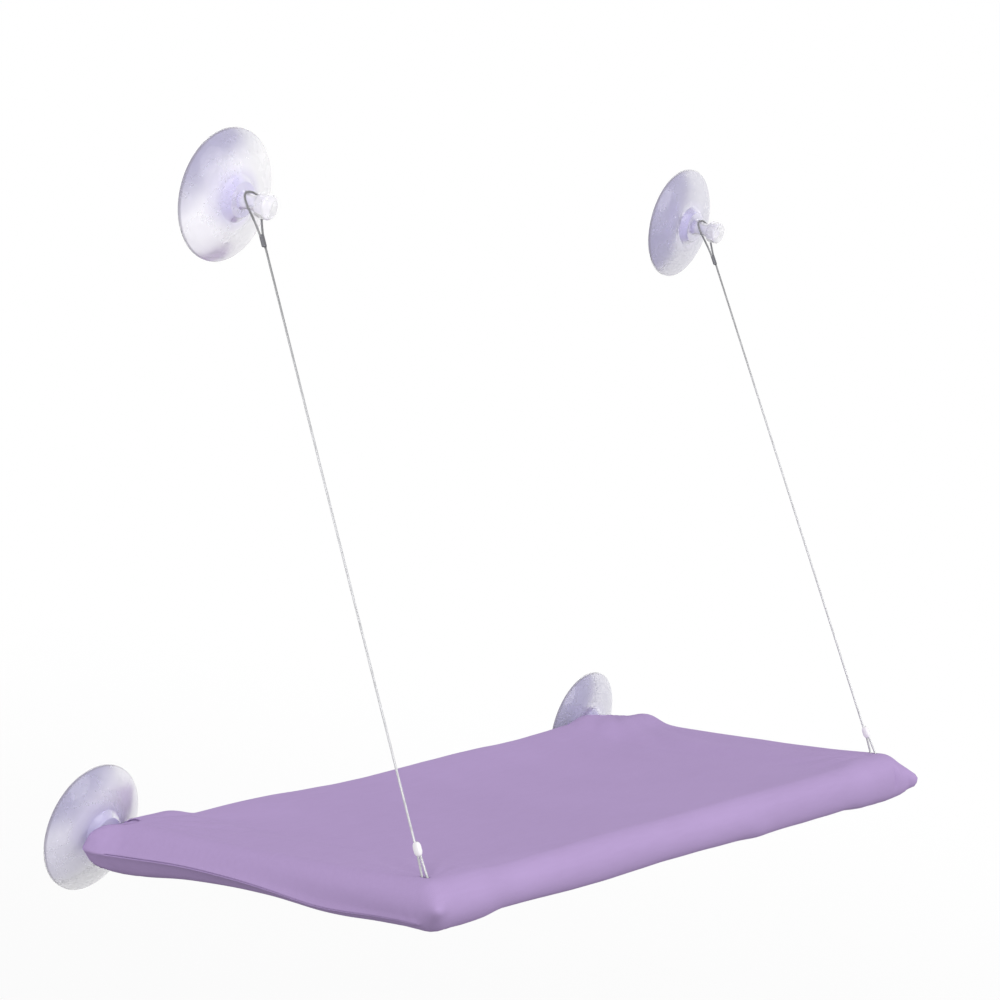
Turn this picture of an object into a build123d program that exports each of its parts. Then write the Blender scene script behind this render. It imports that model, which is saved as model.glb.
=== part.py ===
from math import asin, atan2, cos, degrees, pi, radians, sin, sqrt
import os

from build123d import *

# Window mounted perch. The glass is the plane y = 0 and the room is on its -Y side.
# The origin lies on the glass, midway between the two lower suction cups.
# All lengths are in millimetres and all angles in degrees.

# Layout of the whole perch
bed_width = 584.0            # between the axes of the left and right tubes
bed_depth = 238.0            # between the axes of the rear and front tubes
bed_tilt = 11.5              # how far the front of the bed is raised
fold_range = 75.0            # how far the bed folds up towards the glass
upper_cup_spacing = 550.0    # between the centres of the upper cups
upper_cup_height = 416.0     # above the lower cups

# Suction cup, one moulding, four alike
cup_radius = 42.5
cup_lip = 1.4                # thickness of the rim
cup_seal_width = 6.0         # flat ring that lies on the glass
cup_cavity_height = 4.5      # hollow left between the cup and the glass
dome_height = 11.0
dome_bulge = 2.6             # how far the dome stands above its straight chord
boss_base_radius = 15.0
boss_radius = 11.5
boss_height = 4.5            # raised centre above the dome
boss_rounding = 1.2
neck_root_radius = 6.0
neck_radius = 5.0
neck_taper_length = 3.0
neck_length = 14.5           # from the boss to the underside of the head
head_radius = 8.2
head_length = 8.0
head_rounding = 1.6

# Frame tubes
tube_radius = 11.0
tube_wall = 1.6
rod_radius = 7.5             # the thinner tube along the rear
rod_wall = 1.5

# Corner elbows
socket_radius = 13.4
socket_reach = 36.0          # from the corner to the mouth of a socket
socket_chamfer = 0.8
rod_socket_wall = 2.4
tube_stop = 13.0             # from the corner to the end of a tube
tube_fit = 0.1               # radial clearance of a tube in its socket
head_clearance = 0.2         # round the cup's head in the elbow's pocket
neck_slot_clearance = 0.3    # beside the neck in the elbow's slot

# Steel cable, its loops and its crimped sleeves
wire_radius = 0.75
neck_loop_gap = 0.1          # between the upper loop and the neck
loop_seat_offset = 5.3       # from the end of the neck's taper to the upper loop
pin_loop_gap = 0.15          # between the lower loop and its pin
pin_radius = 2.5
pin_seat = 2.4               # how far the pin enters the elbow's inner wall
pin_fit = 0.03
crimp_wall = 0.6
crimp_bore_gap = 0.08
crimp_pitch = 1.7            # between the two wires side by side in a crimp
upper_crimp_start = 21.0     # from the neck's axis, along the cable
upper_crimp_length = 8.0
lower_crimp_start = 29.0     # from the pin's axis, along the cable
lower_crimp_length = 9.0
lower_crimp_wall = 1.3
crimp_rounding = 0.35
crimp_mouth_radius = 12.0    # bend of the wire just before it enters a crimp
crimp_lead = 2.2             # from that bend to the mouth of the crimp
wire_end_gap = 0.5           # between the two ends that meet in the lower crimp
cable_slot_gap = 1.0         # round the loop where it enters the elbow

# Fabric sleeve round the frame
cloth = 1.0
cloth_gap = 0.5              # between the frame and the fabric
top_sag = 8.0                # of the top panel at the middle of the bed
side_sag = 0.6               # of the top panel over the side tubes
bottom_sag = 9.0
neck_opening_gap = 1.5       # round the neck where it passes the fabric
cable_opening_gap = 1.0
loose_length = 24.0          # fabric that runs down from an elbow to a tube
span_shares = [0.0, 0.25, 0.5, 0.74]
end_shares = [0.0, 0.18, 0.35, 0.6, 0.8, 0.92, 0.985]

# Hook-and-loop closure along the rear of the sleeve
closure_inset = 92.0         # from the axis of a side tube to the end of the closure
strip_thickness = 1.0
strip_gap = 0.05             # between one layer and the next
strip_start_angle = -15.0    # seen from the side, from straight back, down is negative
strip_end_angle = -85.0
flap_start_angle = 12.0
flap_end_angle = -100.0

overrun = 2.0                # length by which a cutting shape passes a face
corner_tolerance = 0.01      # for finding the corners of a profile at a radius
end_face_share = 0.98        # of a face's direction along a crimp, at its two ends

# Places that follow from the sizes
half_width = bed_width / 2
closure_length = bed_width - 2 * closure_inset
cup_height = dome_height + boss_height + neck_length + head_length
rear_axis_gap = cup_height - head_length / 2
loop_seat = dome_height + boss_height + neck_taper_length + loop_seat_offset
pocket_radius = sqrt(head_radius ** 2 + (head_length / 2) ** 2) + head_clearance
rod_socket_radius = rod_radius + rod_socket_wall
tilt = radians(bed_tilt)
bed = Plane(
    origin=(0, -rear_axis_gap, 0),
    x_dir=(1, 0, 0),
    z_dir=(0, sin(tilt), cos(tilt)),
)
right = Vector(1, 0, 0)
back = bed.y_dir
sides = {"left": -1, "right": 1}

os.makedirs("parts", exist_ok=True)


def keep(built, label):
    """Label one finished piece and write its file."""
    built.part.label = label
    export_step(built.part, f"parts/{label}.step")


def bed_point(x, forward, up=0):
    """A point of the bed: across, forward from the rear tube, and up from the frame."""
    return bed.from_local_coords((x, -forward, up))


# Suction cups: dome, raised boss, neck and mushroom head in one moulding
cup_places = {
    "upper_left_cup": (-upper_cup_spacing / 2, upper_cup_height),
    "upper_right_cup": (upper_cup_spacing / 2, upper_cup_height),
    "lower_left_cup": (-half_width, 0),
    "lower_right_cup": (half_width, 0),
}
seal_radius = cup_radius - cup_seal_width
boss_top = dome_height + boss_height
neck_taper_end = boss_top + neck_taper_length
head_start = cup_height - head_length
dome_middle = (
    (cup_radius + boss_base_radius) / 2,
    (cup_lip + dome_height) / 2 + dome_bulge,
)
cavity_middle = (seal_radius / 2, cup_cavity_height - cup_lip / 2)
for label, (cup_x, cup_z) in cup_places.items():
    profile_plane = Plane(origin=(cup_x, 0, cup_z), x_dir=(1, 0, 0), z_dir=(0, 0, -1))
    with BuildPart() as cup:
        with BuildSketch(profile_plane) as profile:
            with BuildLine():
                Polyline((seal_radius, 0), (cup_radius, 0), (cup_radius, cup_lip))
                ThreePointArc(
                    (cup_radius, cup_lip), dome_middle, (boss_base_radius, dome_height)
                )
                Polyline(
                    (boss_base_radius, dome_height),
                    (boss_radius, boss_top),
                    (neck_root_radius, boss_top),
                    (neck_radius, neck_taper_end),
                    (neck_radius, head_start),
                    (head_radius, head_start),
                    (head_radius, cup_height),
                    (0, cup_height),
                    (0, cup_cavity_height),
                )
                ThreePointArc((0, cup_cavity_height), cavity_middle, (seal_radius, 0))
            make_face()
            head_corners = [v for v in profile.vertices() if abs(v.X - head_radius) < corner_tolerance]
            fillet(head_corners, head_rounding)
            boss_corners = [v for v in profile.vertices() if abs(v.X - boss_radius) < corner_tolerance]
            fillet(boss_corners, boss_rounding)
        revolve(axis=Axis((cup_x, 0, cup_z), (0, -1, 0)))
    keep(cup, label)

# Frame tubes: the front, left and right ones are alike in section, the rear one is thinner
long_run = bed_width - 2 * tube_stop
short_run = bed_depth - 2 * tube_stop
with BuildPart() as front_tube:
    with BuildSketch(Plane(origin=bed_point(-long_run / 2, bed_depth), z_dir=right)):
        Circle(tube_radius)
        Circle(tube_radius - tube_wall, mode=Mode.SUBTRACT)
    extrude(amount=long_run)
keep(front_tube, "front_tube")

with BuildPart() as rear_tube:
    with BuildSketch(Plane(origin=bed_point(-long_run / 2, 0), z_dir=right)):
        Circle(rod_radius)
        Circle(rod_radius - rod_wall, mode=Mode.SUBTRACT)
    extrude(amount=long_run)
keep(rear_tube, "rear_tube")

for name, side in sides.items():
    with BuildPart() as side_tube:
        with BuildSketch(Plane(origin=bed_point(side * half_width, tube_stop), z_dir=-back)):
            Circle(tube_radius)
            Circle(tube_radius - tube_wall, mode=Mode.SUBTRACT)
        extrude(amount=short_run)
    keep(side_tube, f"{name}_tube")

# Line of each cable, from the neck of the upper cup to the pin in the front elbow
cable_lines = {}
for name, side in sides.items():
    neck_point = Vector(side * upper_cup_spacing / 2, -loop_seat, upper_cup_height)
    pin_point = bed_point(side * half_width, bed_depth)
    cable_lines[name] = (neck_point, pin_point, (pin_point - neck_point).normalized())

# Corner elbows: a ball with two sockets; the rear ones hold the heads of the lower cups in
# a round pocket, with a slot in which the neck travels as the bed folds; the front ones
# hold the pin of the cable's loop
pocket_slot = neck_root_radius + neck_slot_clearance
loop_radius = pin_radius + pin_loop_gap + wire_radius
cable_slot_width = 2 * (wire_radius + cable_slot_gap)
cable_slot_length = 2 * (loop_radius + wire_radius + cable_slot_gap)
for name, side in sides.items():
    inward = right * -side
    for end in ("rear", "front"):
        is_rear = end == "rear"
        corner = bed_point(side * half_width, 0 if is_rear else bed_depth)
        along = -back if is_rear else back
        cross_radius = rod_radius if is_rear else tube_radius
        cross_socket = rod_socket_radius if is_rear else socket_radius
        with BuildPart() as elbow:
            with Locations(corner):
                Sphere(socket_radius)
            for way, radius in ((along, socket_radius), (inward, cross_socket)):
                with BuildSketch(Plane(origin=corner, x_dir=bed.z_dir, z_dir=bed.z_dir.cross(way))):
                    Polygon(
                        (0, 0),
                        (radius, 0),
                        (radius, socket_reach - socket_chamfer),
                        (radius - socket_chamfer, socket_reach),
                        (0, socket_reach),
                        align=None,
                    )
                revolve(axis=Axis(corner, way))
            with BuildSketch(Plane(origin=corner + along * tube_stop, z_dir=along)):
                Circle(tube_radius + tube_fit)
            extrude(amount=socket_reach, mode=Mode.SUBTRACT)
            with BuildSketch(Plane(origin=corner + inward * tube_stop, z_dir=inward)):
                Circle(cross_radius + tube_fit)
            extrude(amount=socket_reach, mode=Mode.SUBTRACT)
            with Locations(corner):
                Sphere(pocket_radius, mode=Mode.SUBTRACT)
            if is_rear:
                with BuildSketch(Plane(origin=corner, x_dir=(1, 0, 0), z_dir=(0, 0, 1))):
                    with Locations((0, (socket_radius + overrun) / 2)):
                        Rectangle(2 * pocket_slot, socket_radius + overrun)
                revolve(
                    axis=Axis(corner, (1, 0, 0)),
                    revolution_arc=fold_range,
                    mode=Mode.SUBTRACT,
                )
                for angle in (0, fold_range):
                    leave = Vector(0, cos(radians(angle)), sin(radians(angle)))
                    with BuildSketch(Plane(origin=corner, z_dir=leave)):
                        Circle(pocket_slot)
                    extrude(amount=socket_radius + overrun, mode=Mode.SUBTRACT)
            else:
                pin_bore = Plane(
                    origin=corner + inward * (pocket_radius + pin_seat), z_dir=-inward
                )
                with BuildSketch(pin_bore):
                    Circle(pin_radius + pin_fit)
                extrude(
                    amount=pocket_radius + pin_seat + socket_radius + overrun,
                    mode=Mode.SUBTRACT,
                )
                run = cable_lines[name][2]
                across = right.cross(run).normalized()
                with BuildSketch(Plane(origin=corner, x_dir=across, z_dir=-run)):
                    Rectangle(cable_slot_length, cable_slot_width)
                extrude(
                    amount=socket_radius + cable_slot_length / 2 + overrun,
                    mode=Mode.SUBTRACT,
                )
        keep(elbow, f"{end}_{name}_elbow")

# Pins across the front elbows, flush with the outside of the ball
pin_length = pocket_radius + pin_seat + sqrt(socket_radius ** 2 - pin_radius ** 2)
for name, side in sides.items():
    pin_start = bed_point(side * (half_width - pocket_radius - pin_seat), bed_depth)
    with BuildPart() as cable_pin:
        with BuildSketch(Plane(origin=pin_start, z_dir=right * side)):
            Circle(pin_radius)
        extrude(amount=pin_length)
    keep(cable_pin, f"{name}_cable_pin")


def loop_points(centre, outwards, across, radius, start, end):
    """Corners of a teardrop loop whose two legs meet side by side in a crimp."""
    offset = crimp_pitch / 2
    start = start - crimp_lead
    reach = sqrt(offset ** 2 + start ** 2)
    lean = asin(radius / reach) - atan2(offset, start)
    shoulder = radius * (1 + sin(lean)) / cos(lean)
    return [
        centre + outwards * end - across * offset,
        centre + outwards * start - across * offset,
        centre - outwards * radius - across * shoulder,
        centre - outwards * radius + across * shoulder,
        centre + outwards * start + across * offset,
    ]


# Steel cables: the upper loop lies round the cup's neck and comes back beside its own leg
# into the upper crimp; below it the wire runs straight and taut to the lower crimp
# The loop leans over the level neck, so its bend is wider than the neck by that lean
neck_bend = {}
for name in sides:
    run = cable_lines[name][2]
    neck_bend[name] = (neck_radius + neck_loop_gap + wire_radius) / sqrt(1 - run.Y ** 2)
loop_share = 0.985           # of the full bend, so that the two bends keep a short run
lower_mouth = lower_crimp_start + lower_crimp_length
for name in sides:
    neck_point, pin_point, run = cable_lines[name]
    across = (right - run * run.X).normalized()
    fore = right.cross(run).normalized()
    bend = neck_bend[name]
    crimp_end = upper_crimp_start + upper_crimp_length
    corners = loop_points(neck_point, run, across, bend, upper_crimp_start, crimp_end)
    meeting = pin_point - run * (lower_crimp_start + lower_crimp_length / 2)
    corners.append(meeting + fore * crimp_pitch / 2)
    radii = [crimp_mouth_radius, bend * loop_share, bend * loop_share, crimp_mouth_radius]
    with BuildPart() as cable:
        with BuildLine() as cable_line:
            FilletPolyline(*corners, radius=radii)
        route = cable_line.wires()[0]
        with BuildSketch(Plane(origin=route @ 0, z_dir=route % 0)):
            Circle(wire_radius)
        sweep(path=route)
    keep(cable, f"{name}_cable")
    swept = cable.part.volume / (pi * wire_radius ** 2 * route.length)
    print(name, "cable bend radii", [round(r, 2) for r in radii], "length", round(route.length, 1))
    print(name, "cable volume over section times length", round(swept, 4))

    # The lower end of the same wire, round the pin and back into the lower crimp
    foot_corners = loop_points(
        pin_point, -run, fore, loop_radius, lower_crimp_start, lower_mouth
    )
    foot_corners.append(meeting + run * wire_end_gap + fore * crimp_pitch / 2)
    foot_bend = loop_radius * loop_share
    foot_radii = [crimp_mouth_radius, foot_bend, foot_bend, crimp_mouth_radius]
    with BuildPart() as cable_foot:
        with BuildLine() as foot_line:
            FilletPolyline(*foot_corners, radius=foot_radii)
        route = foot_line.wires()[0]
        with BuildSketch(Plane(origin=route @ 0, z_dir=route % 0)):
            Circle(wire_radius)
        sweep(path=route)
    keep(cable_foot, f"{name}_cable_foot")
    print(name, "cable foot bend radii", [round(r, 2) for r in foot_radii])

    # Crimps: an oval sleeve with a bore for each of the two wires
    crimps = {
        f"upper_{name}_crimp": (
            neck_point + run * upper_crimp_start, run, across, upper_crimp_length, crimp_wall
        ),
        f"lower_{name}_crimp": (
            pin_point - run * lower_crimp_start, -run, fore, lower_crimp_length,
            lower_crimp_wall
        ),
    }
    for label, (start, way, spread, length, wall) in crimps.items():
        bore_radius = wire_radius + crimp_bore_gap
        outer_radius = bore_radius + wall
        with BuildPart() as crimp:
            with BuildSketch(Plane(origin=start, x_dir=spread, z_dir=way)):
                SlotCenterToCenter(crimp_pitch, 2 * outer_radius)
            extrude(amount=length)
            end_faces = crimp.faces().filter_by(GeomType.PLANE).filter_by(
                lambda f: abs(f.normal_at().dot(way)) > end_face_share
            )
            fillet(end_faces.edges(), crimp_rounding)
            with BuildSketch(Plane(origin=start - way * overrun, x_dir=spread, z_dir=way)):
                with Locations((-crimp_pitch / 2, 0), (crimp_pitch / 2, 0)):
                    Circle(bore_radius)
                Rectangle(crimp_pitch, bore_radius)
            extrude(amount=length + 2 * overrun, mode=Mode.SUBTRACT)
        keep(crimp, label)

# Fabric sleeve: sections across the bed, each wrapped round the rear and front tubes, with
# a top panel that sags between them and a slack bottom panel
ring_rear = rod_radius + cloth_gap
ring_front = tube_radius + cloth_gap
ring_corner = socket_radius + cloth_gap
elbow_edge = half_width - socket_reach - cloth_gap


def sleeve_stations(skin):
    """Place, rear radius, front radius, top sag and bottom sag of each section."""
    stations = []
    for share in span_shares:
        x = share * elbow_edge
        fade = 1 - share ** 2
        stations.append((
            x, ring_rear + skin, ring_front + skin,
            side_sag + (top_sag - side_sag) * fade, side_sag + (bottom_sag - side_sag) * fade,
        ))
    stations.append((
        elbow_edge - loose_length, ring_rear + skin, ring_front + skin,
        2 * side_sag, 2 * side_sag,
    ))
    corner_radius = ring_corner + skin
    stations.append((elbow_edge, corner_radius, corner_radius, side_sag, side_sag))
    for share in end_shares:
        radius = corner_radius * sqrt(1 - share ** 2)
        sag = side_sag * (1 - share ** 2)
        stations.append((half_width + share * corner_radius, radius, radius, sag, sag))
    mirrored = [(-s[0], s[1], s[2], s[3], s[4]) for s in reversed(stations[1:])]
    return mirrored + stations


def sleeve_solid(skin):
    """The space inside the sleeve, grown by a thickness of fabric."""
    with BuildPart() as filled:
        for x, rear, front, top, bottom in sleeve_stations(skin):
            middle = (rear + front) / 2
            with BuildSketch(Plane(origin=bed_point(x, 0), x_dir=-back, z_dir=-right)):
                with BuildLine():
                    ThreePointArc(
                        (0, rear), (bed_depth / 2, middle - top), (bed_depth, front)
                    )
                    RadiusArc((bed_depth, front), (bed_depth + front, 0), front)
                    RadiusArc((bed_depth + front, 0), (bed_depth, -front), front)
                    ThreePointArc(
                        (bed_depth, -front), (bed_depth / 2, -middle - bottom), (0, -rear)
                    )
                    RadiusArc((0, -rear), (-rear, 0), rear)
                    RadiusArc((-rear, 0), (0, rear), rear)
                make_face()
        loft(ruled=True)
    return filled.part


opening_slot = neck_root_radius + neck_opening_gap
with BuildPart() as sleeve:
    add(sleeve_solid(cloth))
    add(sleeve_solid(0), mode=Mode.SUBTRACT)
    for name, side in sides.items():
        corner = bed_point(side * half_width, 0)
        opening_reach = ring_corner + cloth + overrun
        with BuildSketch(Plane(origin=corner, x_dir=(1, 0, 0), z_dir=(0, 0, 1))):
            with Locations((0, opening_reach / 2)):
                Rectangle(2 * opening_slot, opening_reach)
        revolve(
            axis=Axis(corner, (1, 0, 0)), revolution_arc=fold_range, mode=Mode.SUBTRACT
        )
        for angle in (0, fold_range):
            leave = Vector(0, cos(radians(angle)), sin(radians(angle)))
            with BuildSketch(Plane(origin=corner, z_dir=leave)):
                Circle(opening_slot)
            extrude(amount=opening_reach, mode=Mode.SUBTRACT)
        corner = bed_point(side * half_width, bed_depth)
        run = cable_lines[name][2]
        fore = right.cross(run).normalized()
        with BuildSketch(Plane(origin=corner, x_dir=fore, z_dir=-run)):
            Rectangle(
                cable_slot_length + cable_opening_gap, cable_slot_width + cable_opening_gap
            )
        extrude(amount=opening_reach + cable_slot_length / 2, mode=Mode.SUBTRACT)

with BuildPart() as cover_top:
    add(sleeve.part)
    split(bisect_by=bed, keep=Keep.TOP)
keep(cover_top, "cover_top")

with BuildPart() as cover_bottom:
    add(sleeve.part)
    split(bisect_by=bed, keep=Keep.BOTTOM)
keep(cover_bottom, "cover_bottom")

# Closure along the rear: the loop strip is sewn to the sleeve, the hook strip lies on it,
# and the flap of the top panel covers both
loop_inner = ring_rear + cloth + strip_gap
hook_inner = loop_inner + strip_thickness + strip_gap
flap_inner = hook_inner + strip_thickness + strip_gap
closure_layers = {
    "loop_strip": (loop_inner, strip_thickness, strip_start_angle, strip_end_angle),
    "hook_strip": (hook_inner, strip_thickness, strip_start_angle, strip_end_angle),
    "closure_flap": (flap_inner, cloth, flap_start_angle, flap_end_angle),
}
for label, (inner, thickness, first, last) in closure_layers.items():
    outer = inner + thickness
    closure_plane = Plane(
        origin=bed_point(-closure_length / 2, 0), x_dir=back, z_dir=right
    )
    with BuildPart() as layer:
        with BuildSketch(closure_plane):
            with BuildLine():
                inner_arc = CenterArc((0, 0), inner, first, last - first)
                outer_arc = CenterArc((0, 0), outer, first, last - first)
                Line(inner_arc @ 0, outer_arc @ 0)
                Line(inner_arc @ 1, outer_arc @ 1)
            make_face()
        extrude(amount=closure_length)
    keep(layer, label)

print("cable runs", [
    (name, round((v[1] - v[0]).length, 1)) for name, v in cable_lines.items()
])
print("front axis", [round(c, 2) for c in bed_point(half_width, bed_depth)])
print("cable lean from vertical", round(degrees(asin(-cable_lines["left"][2].Y)), 2))
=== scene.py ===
from math import cos, pi, radians, sin, sqrt

import bmesh
import bpy
import numpy as np
from bpy.props import FloatProperty, FloatVectorProperty, IntProperty, PointerProperty
from bpy.types import Operator, Panel, PropertyGroup
from mathutils import Matrix, Quaternion, Vector, noise


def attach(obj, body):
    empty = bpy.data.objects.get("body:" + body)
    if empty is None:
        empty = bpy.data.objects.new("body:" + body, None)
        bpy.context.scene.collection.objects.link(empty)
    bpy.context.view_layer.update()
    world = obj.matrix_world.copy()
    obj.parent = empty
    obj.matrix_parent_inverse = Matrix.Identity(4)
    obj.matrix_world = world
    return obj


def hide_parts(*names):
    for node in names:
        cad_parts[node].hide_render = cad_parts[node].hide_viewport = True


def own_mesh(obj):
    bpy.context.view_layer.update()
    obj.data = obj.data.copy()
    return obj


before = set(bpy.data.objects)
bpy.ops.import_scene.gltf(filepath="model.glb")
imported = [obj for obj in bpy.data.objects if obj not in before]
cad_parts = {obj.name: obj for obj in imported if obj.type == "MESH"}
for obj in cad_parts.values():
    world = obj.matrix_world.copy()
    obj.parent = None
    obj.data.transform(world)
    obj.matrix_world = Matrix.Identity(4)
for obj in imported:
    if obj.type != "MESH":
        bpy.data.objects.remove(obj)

bl_info = {
    "name": "Window perch",
    "version": (1, 0, 0),
    "blender": (4, 5, 0),
    "location": "3D View > Sidebar > Perch",
    "description": "Dresses a window mounted perch with cups, cables and a fabric sleeve",
    "category": "Object",
}

SIDES = {"left": -1, "right": 1}
WHITE = (1.0, 1.0, 1.0, 1.0)

# Radii of the rings moulded on a cup's dome, and their width.
DOME_RINGS, RING_WIDTH = (0.0205, 0.0285, 0.0365), 0.0008
# How rounded the corners of a cup's stem are, by their place in its section.
STEM_ROUNDS = {1: 0.0012, 2: 0.0009, 4: 0.0005, 5: 0.0012, 6: 0.0016}
# Length of cable under the upper cups that is darker.
DARKER_REACH = 0.16
# Walls of the pressed sleeves and of the white ones, beside and over the two wires.
CRIMP_WALLS, BEAD_WALLS = (0.0004, 0.0004), (0.0011, 0.0013)
# Slack cloth over the rear tube: its place across, its width and its share of the height.
SWELLS = ((-0.17, 0.06, 0.7), (0.10, 0.08, 1.0), (0.19, 0.045, 0.8), (0.238, 0.037, 1.5))
# The ears at the two front corners, left and right: how many degrees up they point, how far
# they spread downwards, their share of the size and how much they are lifted.
FRONT_EARS = ((6.0, -4.0), (42.0, 64.0), (0.55, 1.0), (0.12, -0.06))
# How far an ear reaches, and how many degrees a front one spreads upwards.
EAR_REACH, EAR_SPREAD = 0.05, 29.0
# Pleats at the front right corner: place across, height, width and depth.
PLEATS = ((0.290, 0.0, 0.0021, 0.0017), (0.3055, -0.0055, 0.0024, 0.0015))
# Half the distance between two puckers of an end seam.
PUCKER_LENGTH = 0.0046
# A stitch: how far along it, and how thick there.
STITCH_SHAPE = ((0.0, 0.35), (0.16, 0.9), (0.5, 1.0), (0.84, 0.9), (1.0, 0.35))
# Turns round the rear tube, in degrees up from straight back.
STRIP_TURNS, FLAP_TURNS, FLAP_STITCHES = (-15.0, -85.0), (12.0, -100.0), (8.0, -20.0, -80.0, -95.0)
# Distances between hooks, along the rear and round it.
HOOK_PITCH = (0.0014, 0.0019)
# How far the rows of stitches along the top and the bottom lie from an end seam.
SEAM_ALLOWANCE = 0.0042
# Stitches across an edge: how far from it they start, and how long they are at a neck's slot
# and at a cable's slit.
EDGE_GAP, SLOT_STITCH, SLIT_STITCH = 0.0002, 0.0016, 0.0011
# Where a cable enters the sleeve: how far back round the front tube, in radians, and how far in.
SLIT_TURN, SLIT_INSET = 0.378, 0.0006
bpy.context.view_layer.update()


def length(label, note, default):
    """A length in metres that the sidebar shows."""
    return FloatProperty(name=label, description=note, default=default, unit="LENGTH", precision=5)


def share(label, note, default, top=1.0):
    """A plain number from nought upwards."""
    return FloatProperty(name=label, description=note, default=default, min=0.0, max=top)


def angle(label, note, default):
    """An angle, given in degrees and kept in radians."""
    return FloatProperty(name=label, description=note, default=radians(default), unit="ROTATION")


def power(label, note, default):
    """The power of a lamp, in watts."""
    return FloatProperty(name=label, description=note, default=default, unit="POWER")


def colour(label, note, default):
    """A colour of three parts."""
    return FloatVectorProperty(
        name=label, description=note, default=default, size=3, subtype="COLOR", min=0.0, max=1.0
    )


def settings(context, *names):
    """The groups of settings that an operator works from."""
    return [getattr(context.scene, f"perch_{name}") for name in names]


def each(label, note, default, low=-1.0):
    """One number for each of several pieces."""
    return FloatVectorProperty(
        name=label, description=note, default=default, size=len(default), min=low, max=1.0
    )


class PerchLayout(PropertyGroup):
    """Where the bed, the cups and the cables are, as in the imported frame."""

    half_width: length("Half width", "From the middle to the axis of a side tube", 0.292)
    depth: length("Depth", "From the rear tube's axis to the front tube's axis", 0.238)
    rear_gap: length("Rear gap", "From the glass to the rear tube's axis", 0.034)
    tilt: angle("Tilt", "How far the front of the bed is raised", 11.5)
    fold: angle("Fold", "How far the bed folds up", 75.0)
    upper_half_spacing: length("Upper half spacing", "From the middle to an upper cup", 0.275)
    upper_height: length("Upper height", "From a lower cup to an upper cup", 0.416)
    loop_seat: length("Loop seat", "From the glass to the cable's upper loop", 0.0238)


class PerchCups(PropertyGroup):
    """Sizes and colours of the suction cups."""

    radius: length("Radius", "Of the rim", 0.0425)
    lip: length("Lip", "Thickness of the rim", 0.0014)
    seal_radius: length("Seal radius", "Inner edge of the ring on the glass", 0.0365)
    cavity: length("Cavity", "Height of the hollow under the cup", 0.0045)
    dome: length("Dome", "Height of the dome", 0.011)
    bulge: length("Bulge", "How far the dome stands above its chord", 0.0026)
    boss_base: length("Boss base", "Radius where the boss meets the dome", 0.015)
    boss_radius: length("Boss radius", "Of the raised centre", 0.0115)
    boss_height: length("Boss height", "Of the raised centre above the dome", 0.0045)
    neck_root: length("Neck root", "Radius of the neck at the boss", 0.006)
    neck_radius: length("Neck radius", "Of the straight part of the neck", 0.005)
    neck_taper: length("Neck taper", "Length of the taper of the neck", 0.003)
    neck_length: length("Neck length", "From the boss to the head", 0.0145)
    head_radius: length("Head radius", "Of the mushroom head", 0.0082)
    head_length: length("Head length", "Of the mushroom head", 0.008)
    ridge: length("Ridge", "Height of the moulded rings on the dome", 0.00004)
    turns: IntProperty(name="Turns", description="Faces round a cup", default=128, min=24)
    clear_tint: colour("Clear tint", "Of the plastic where it is clearest", (0.95, 0.94, 0.98))
    # Painted shade: the tint laid over the darker side of each cup.
    shaded_tint: colour("Shaded tint", "Of the plastic where it is shaded", (0.42, 0.40, 0.57))
    # Partly painted shade: the deeper lilac over the thick middle stands both for the thicker
    # plastic and for shade round the boss.
    deep_tint_and_shade: colour("Deep tint", "Of the thick middle", (0.64, 0.60, 0.86))
    # Painted shade: the dark line laid round the edge of each cup's rim.
    rim_shade_tint: colour("Shaded rim tint", "Of the edge of the rim", (0.36, 0.34, 0.41))
    # Painted shade laid evenly over each cup, one number a cup; the darker side lies on top of it.
    shade_depth: each(
        "Shading",
        "Of the upper left, upper right, lower left and lower right cup",
        (0.0, 0.85, 0.4, 0.85),
        0.0,
    )
    # Which way the painted shade of each cup is tipped sideways.
    lean: each(
        "Lean", "How far the shaded side of each cup leans right", (-0.6, -0.6, -0.6, 1.0)
    )
    clearness: share("Clearness", "How much light passes through", 0.55)
    gloss: share("Roughness", "Of the plastic's surface", 0.24)


class PerchCables(PropertyGroup):
    """Sizes and colours of the steel cables, loops and sleeves."""

    radius: length("Radius", "Of the whole cable", 0.00075)
    strands: IntProperty(name="Strands", description="Round the core", default=6, min=3)
    lay: length("Lay", "Length of one turn of a strand", 0.0135)
    pitch: length("Pitch", "Between the two wires in a sleeve", 0.0017)
    upper_start: length("Upper sleeve", "From the neck's axis to the sleeve", 0.021)
    upper_length: length("Upper sleeve length", "Along the cable", 0.008)
    lower_start: length("Lower sleeve", "From the pin's axis to the sleeve", 0.029)
    lower_length: length("Lower sleeve length", "Along the cable", 0.009)
    lead: length("Lead", "From a loop's last bend to the sleeve", 0.0022)
    neck_gap: length("Neck gap", "Between the loop and the neck", 0.0003)
    pin_radius: length("Pin radius", "Of the pin that holds the lower loop", 0.0025)
    pin_gap: length("Pin gap", "Between the loop and its pin", 0.0003)
    steel: colour("Steel", "Of the cable", (0.56, 0.56, 0.575))
    sleeve_steel: colour("Sleeve steel", "Of the upper sleeves", (0.15, 0.15, 0.165))
    sleeve_white: colour("Sleeve white", "Of the lower sleeves", (0.90, 0.88, 0.91))


class PerchFrame(PropertyGroup):
    """Colours of the tubes and corners inside the sleeve."""

    tube: colour("Tube", "Of the plastic tubes", (0.72, 0.72, 0.71))
    elbow: colour("Elbow", "Of the moulded corners", (0.60, 0.60, 0.61))
    pin: colour("Pin", "Of the steel pins", (0.55, 0.55, 0.56))


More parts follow.
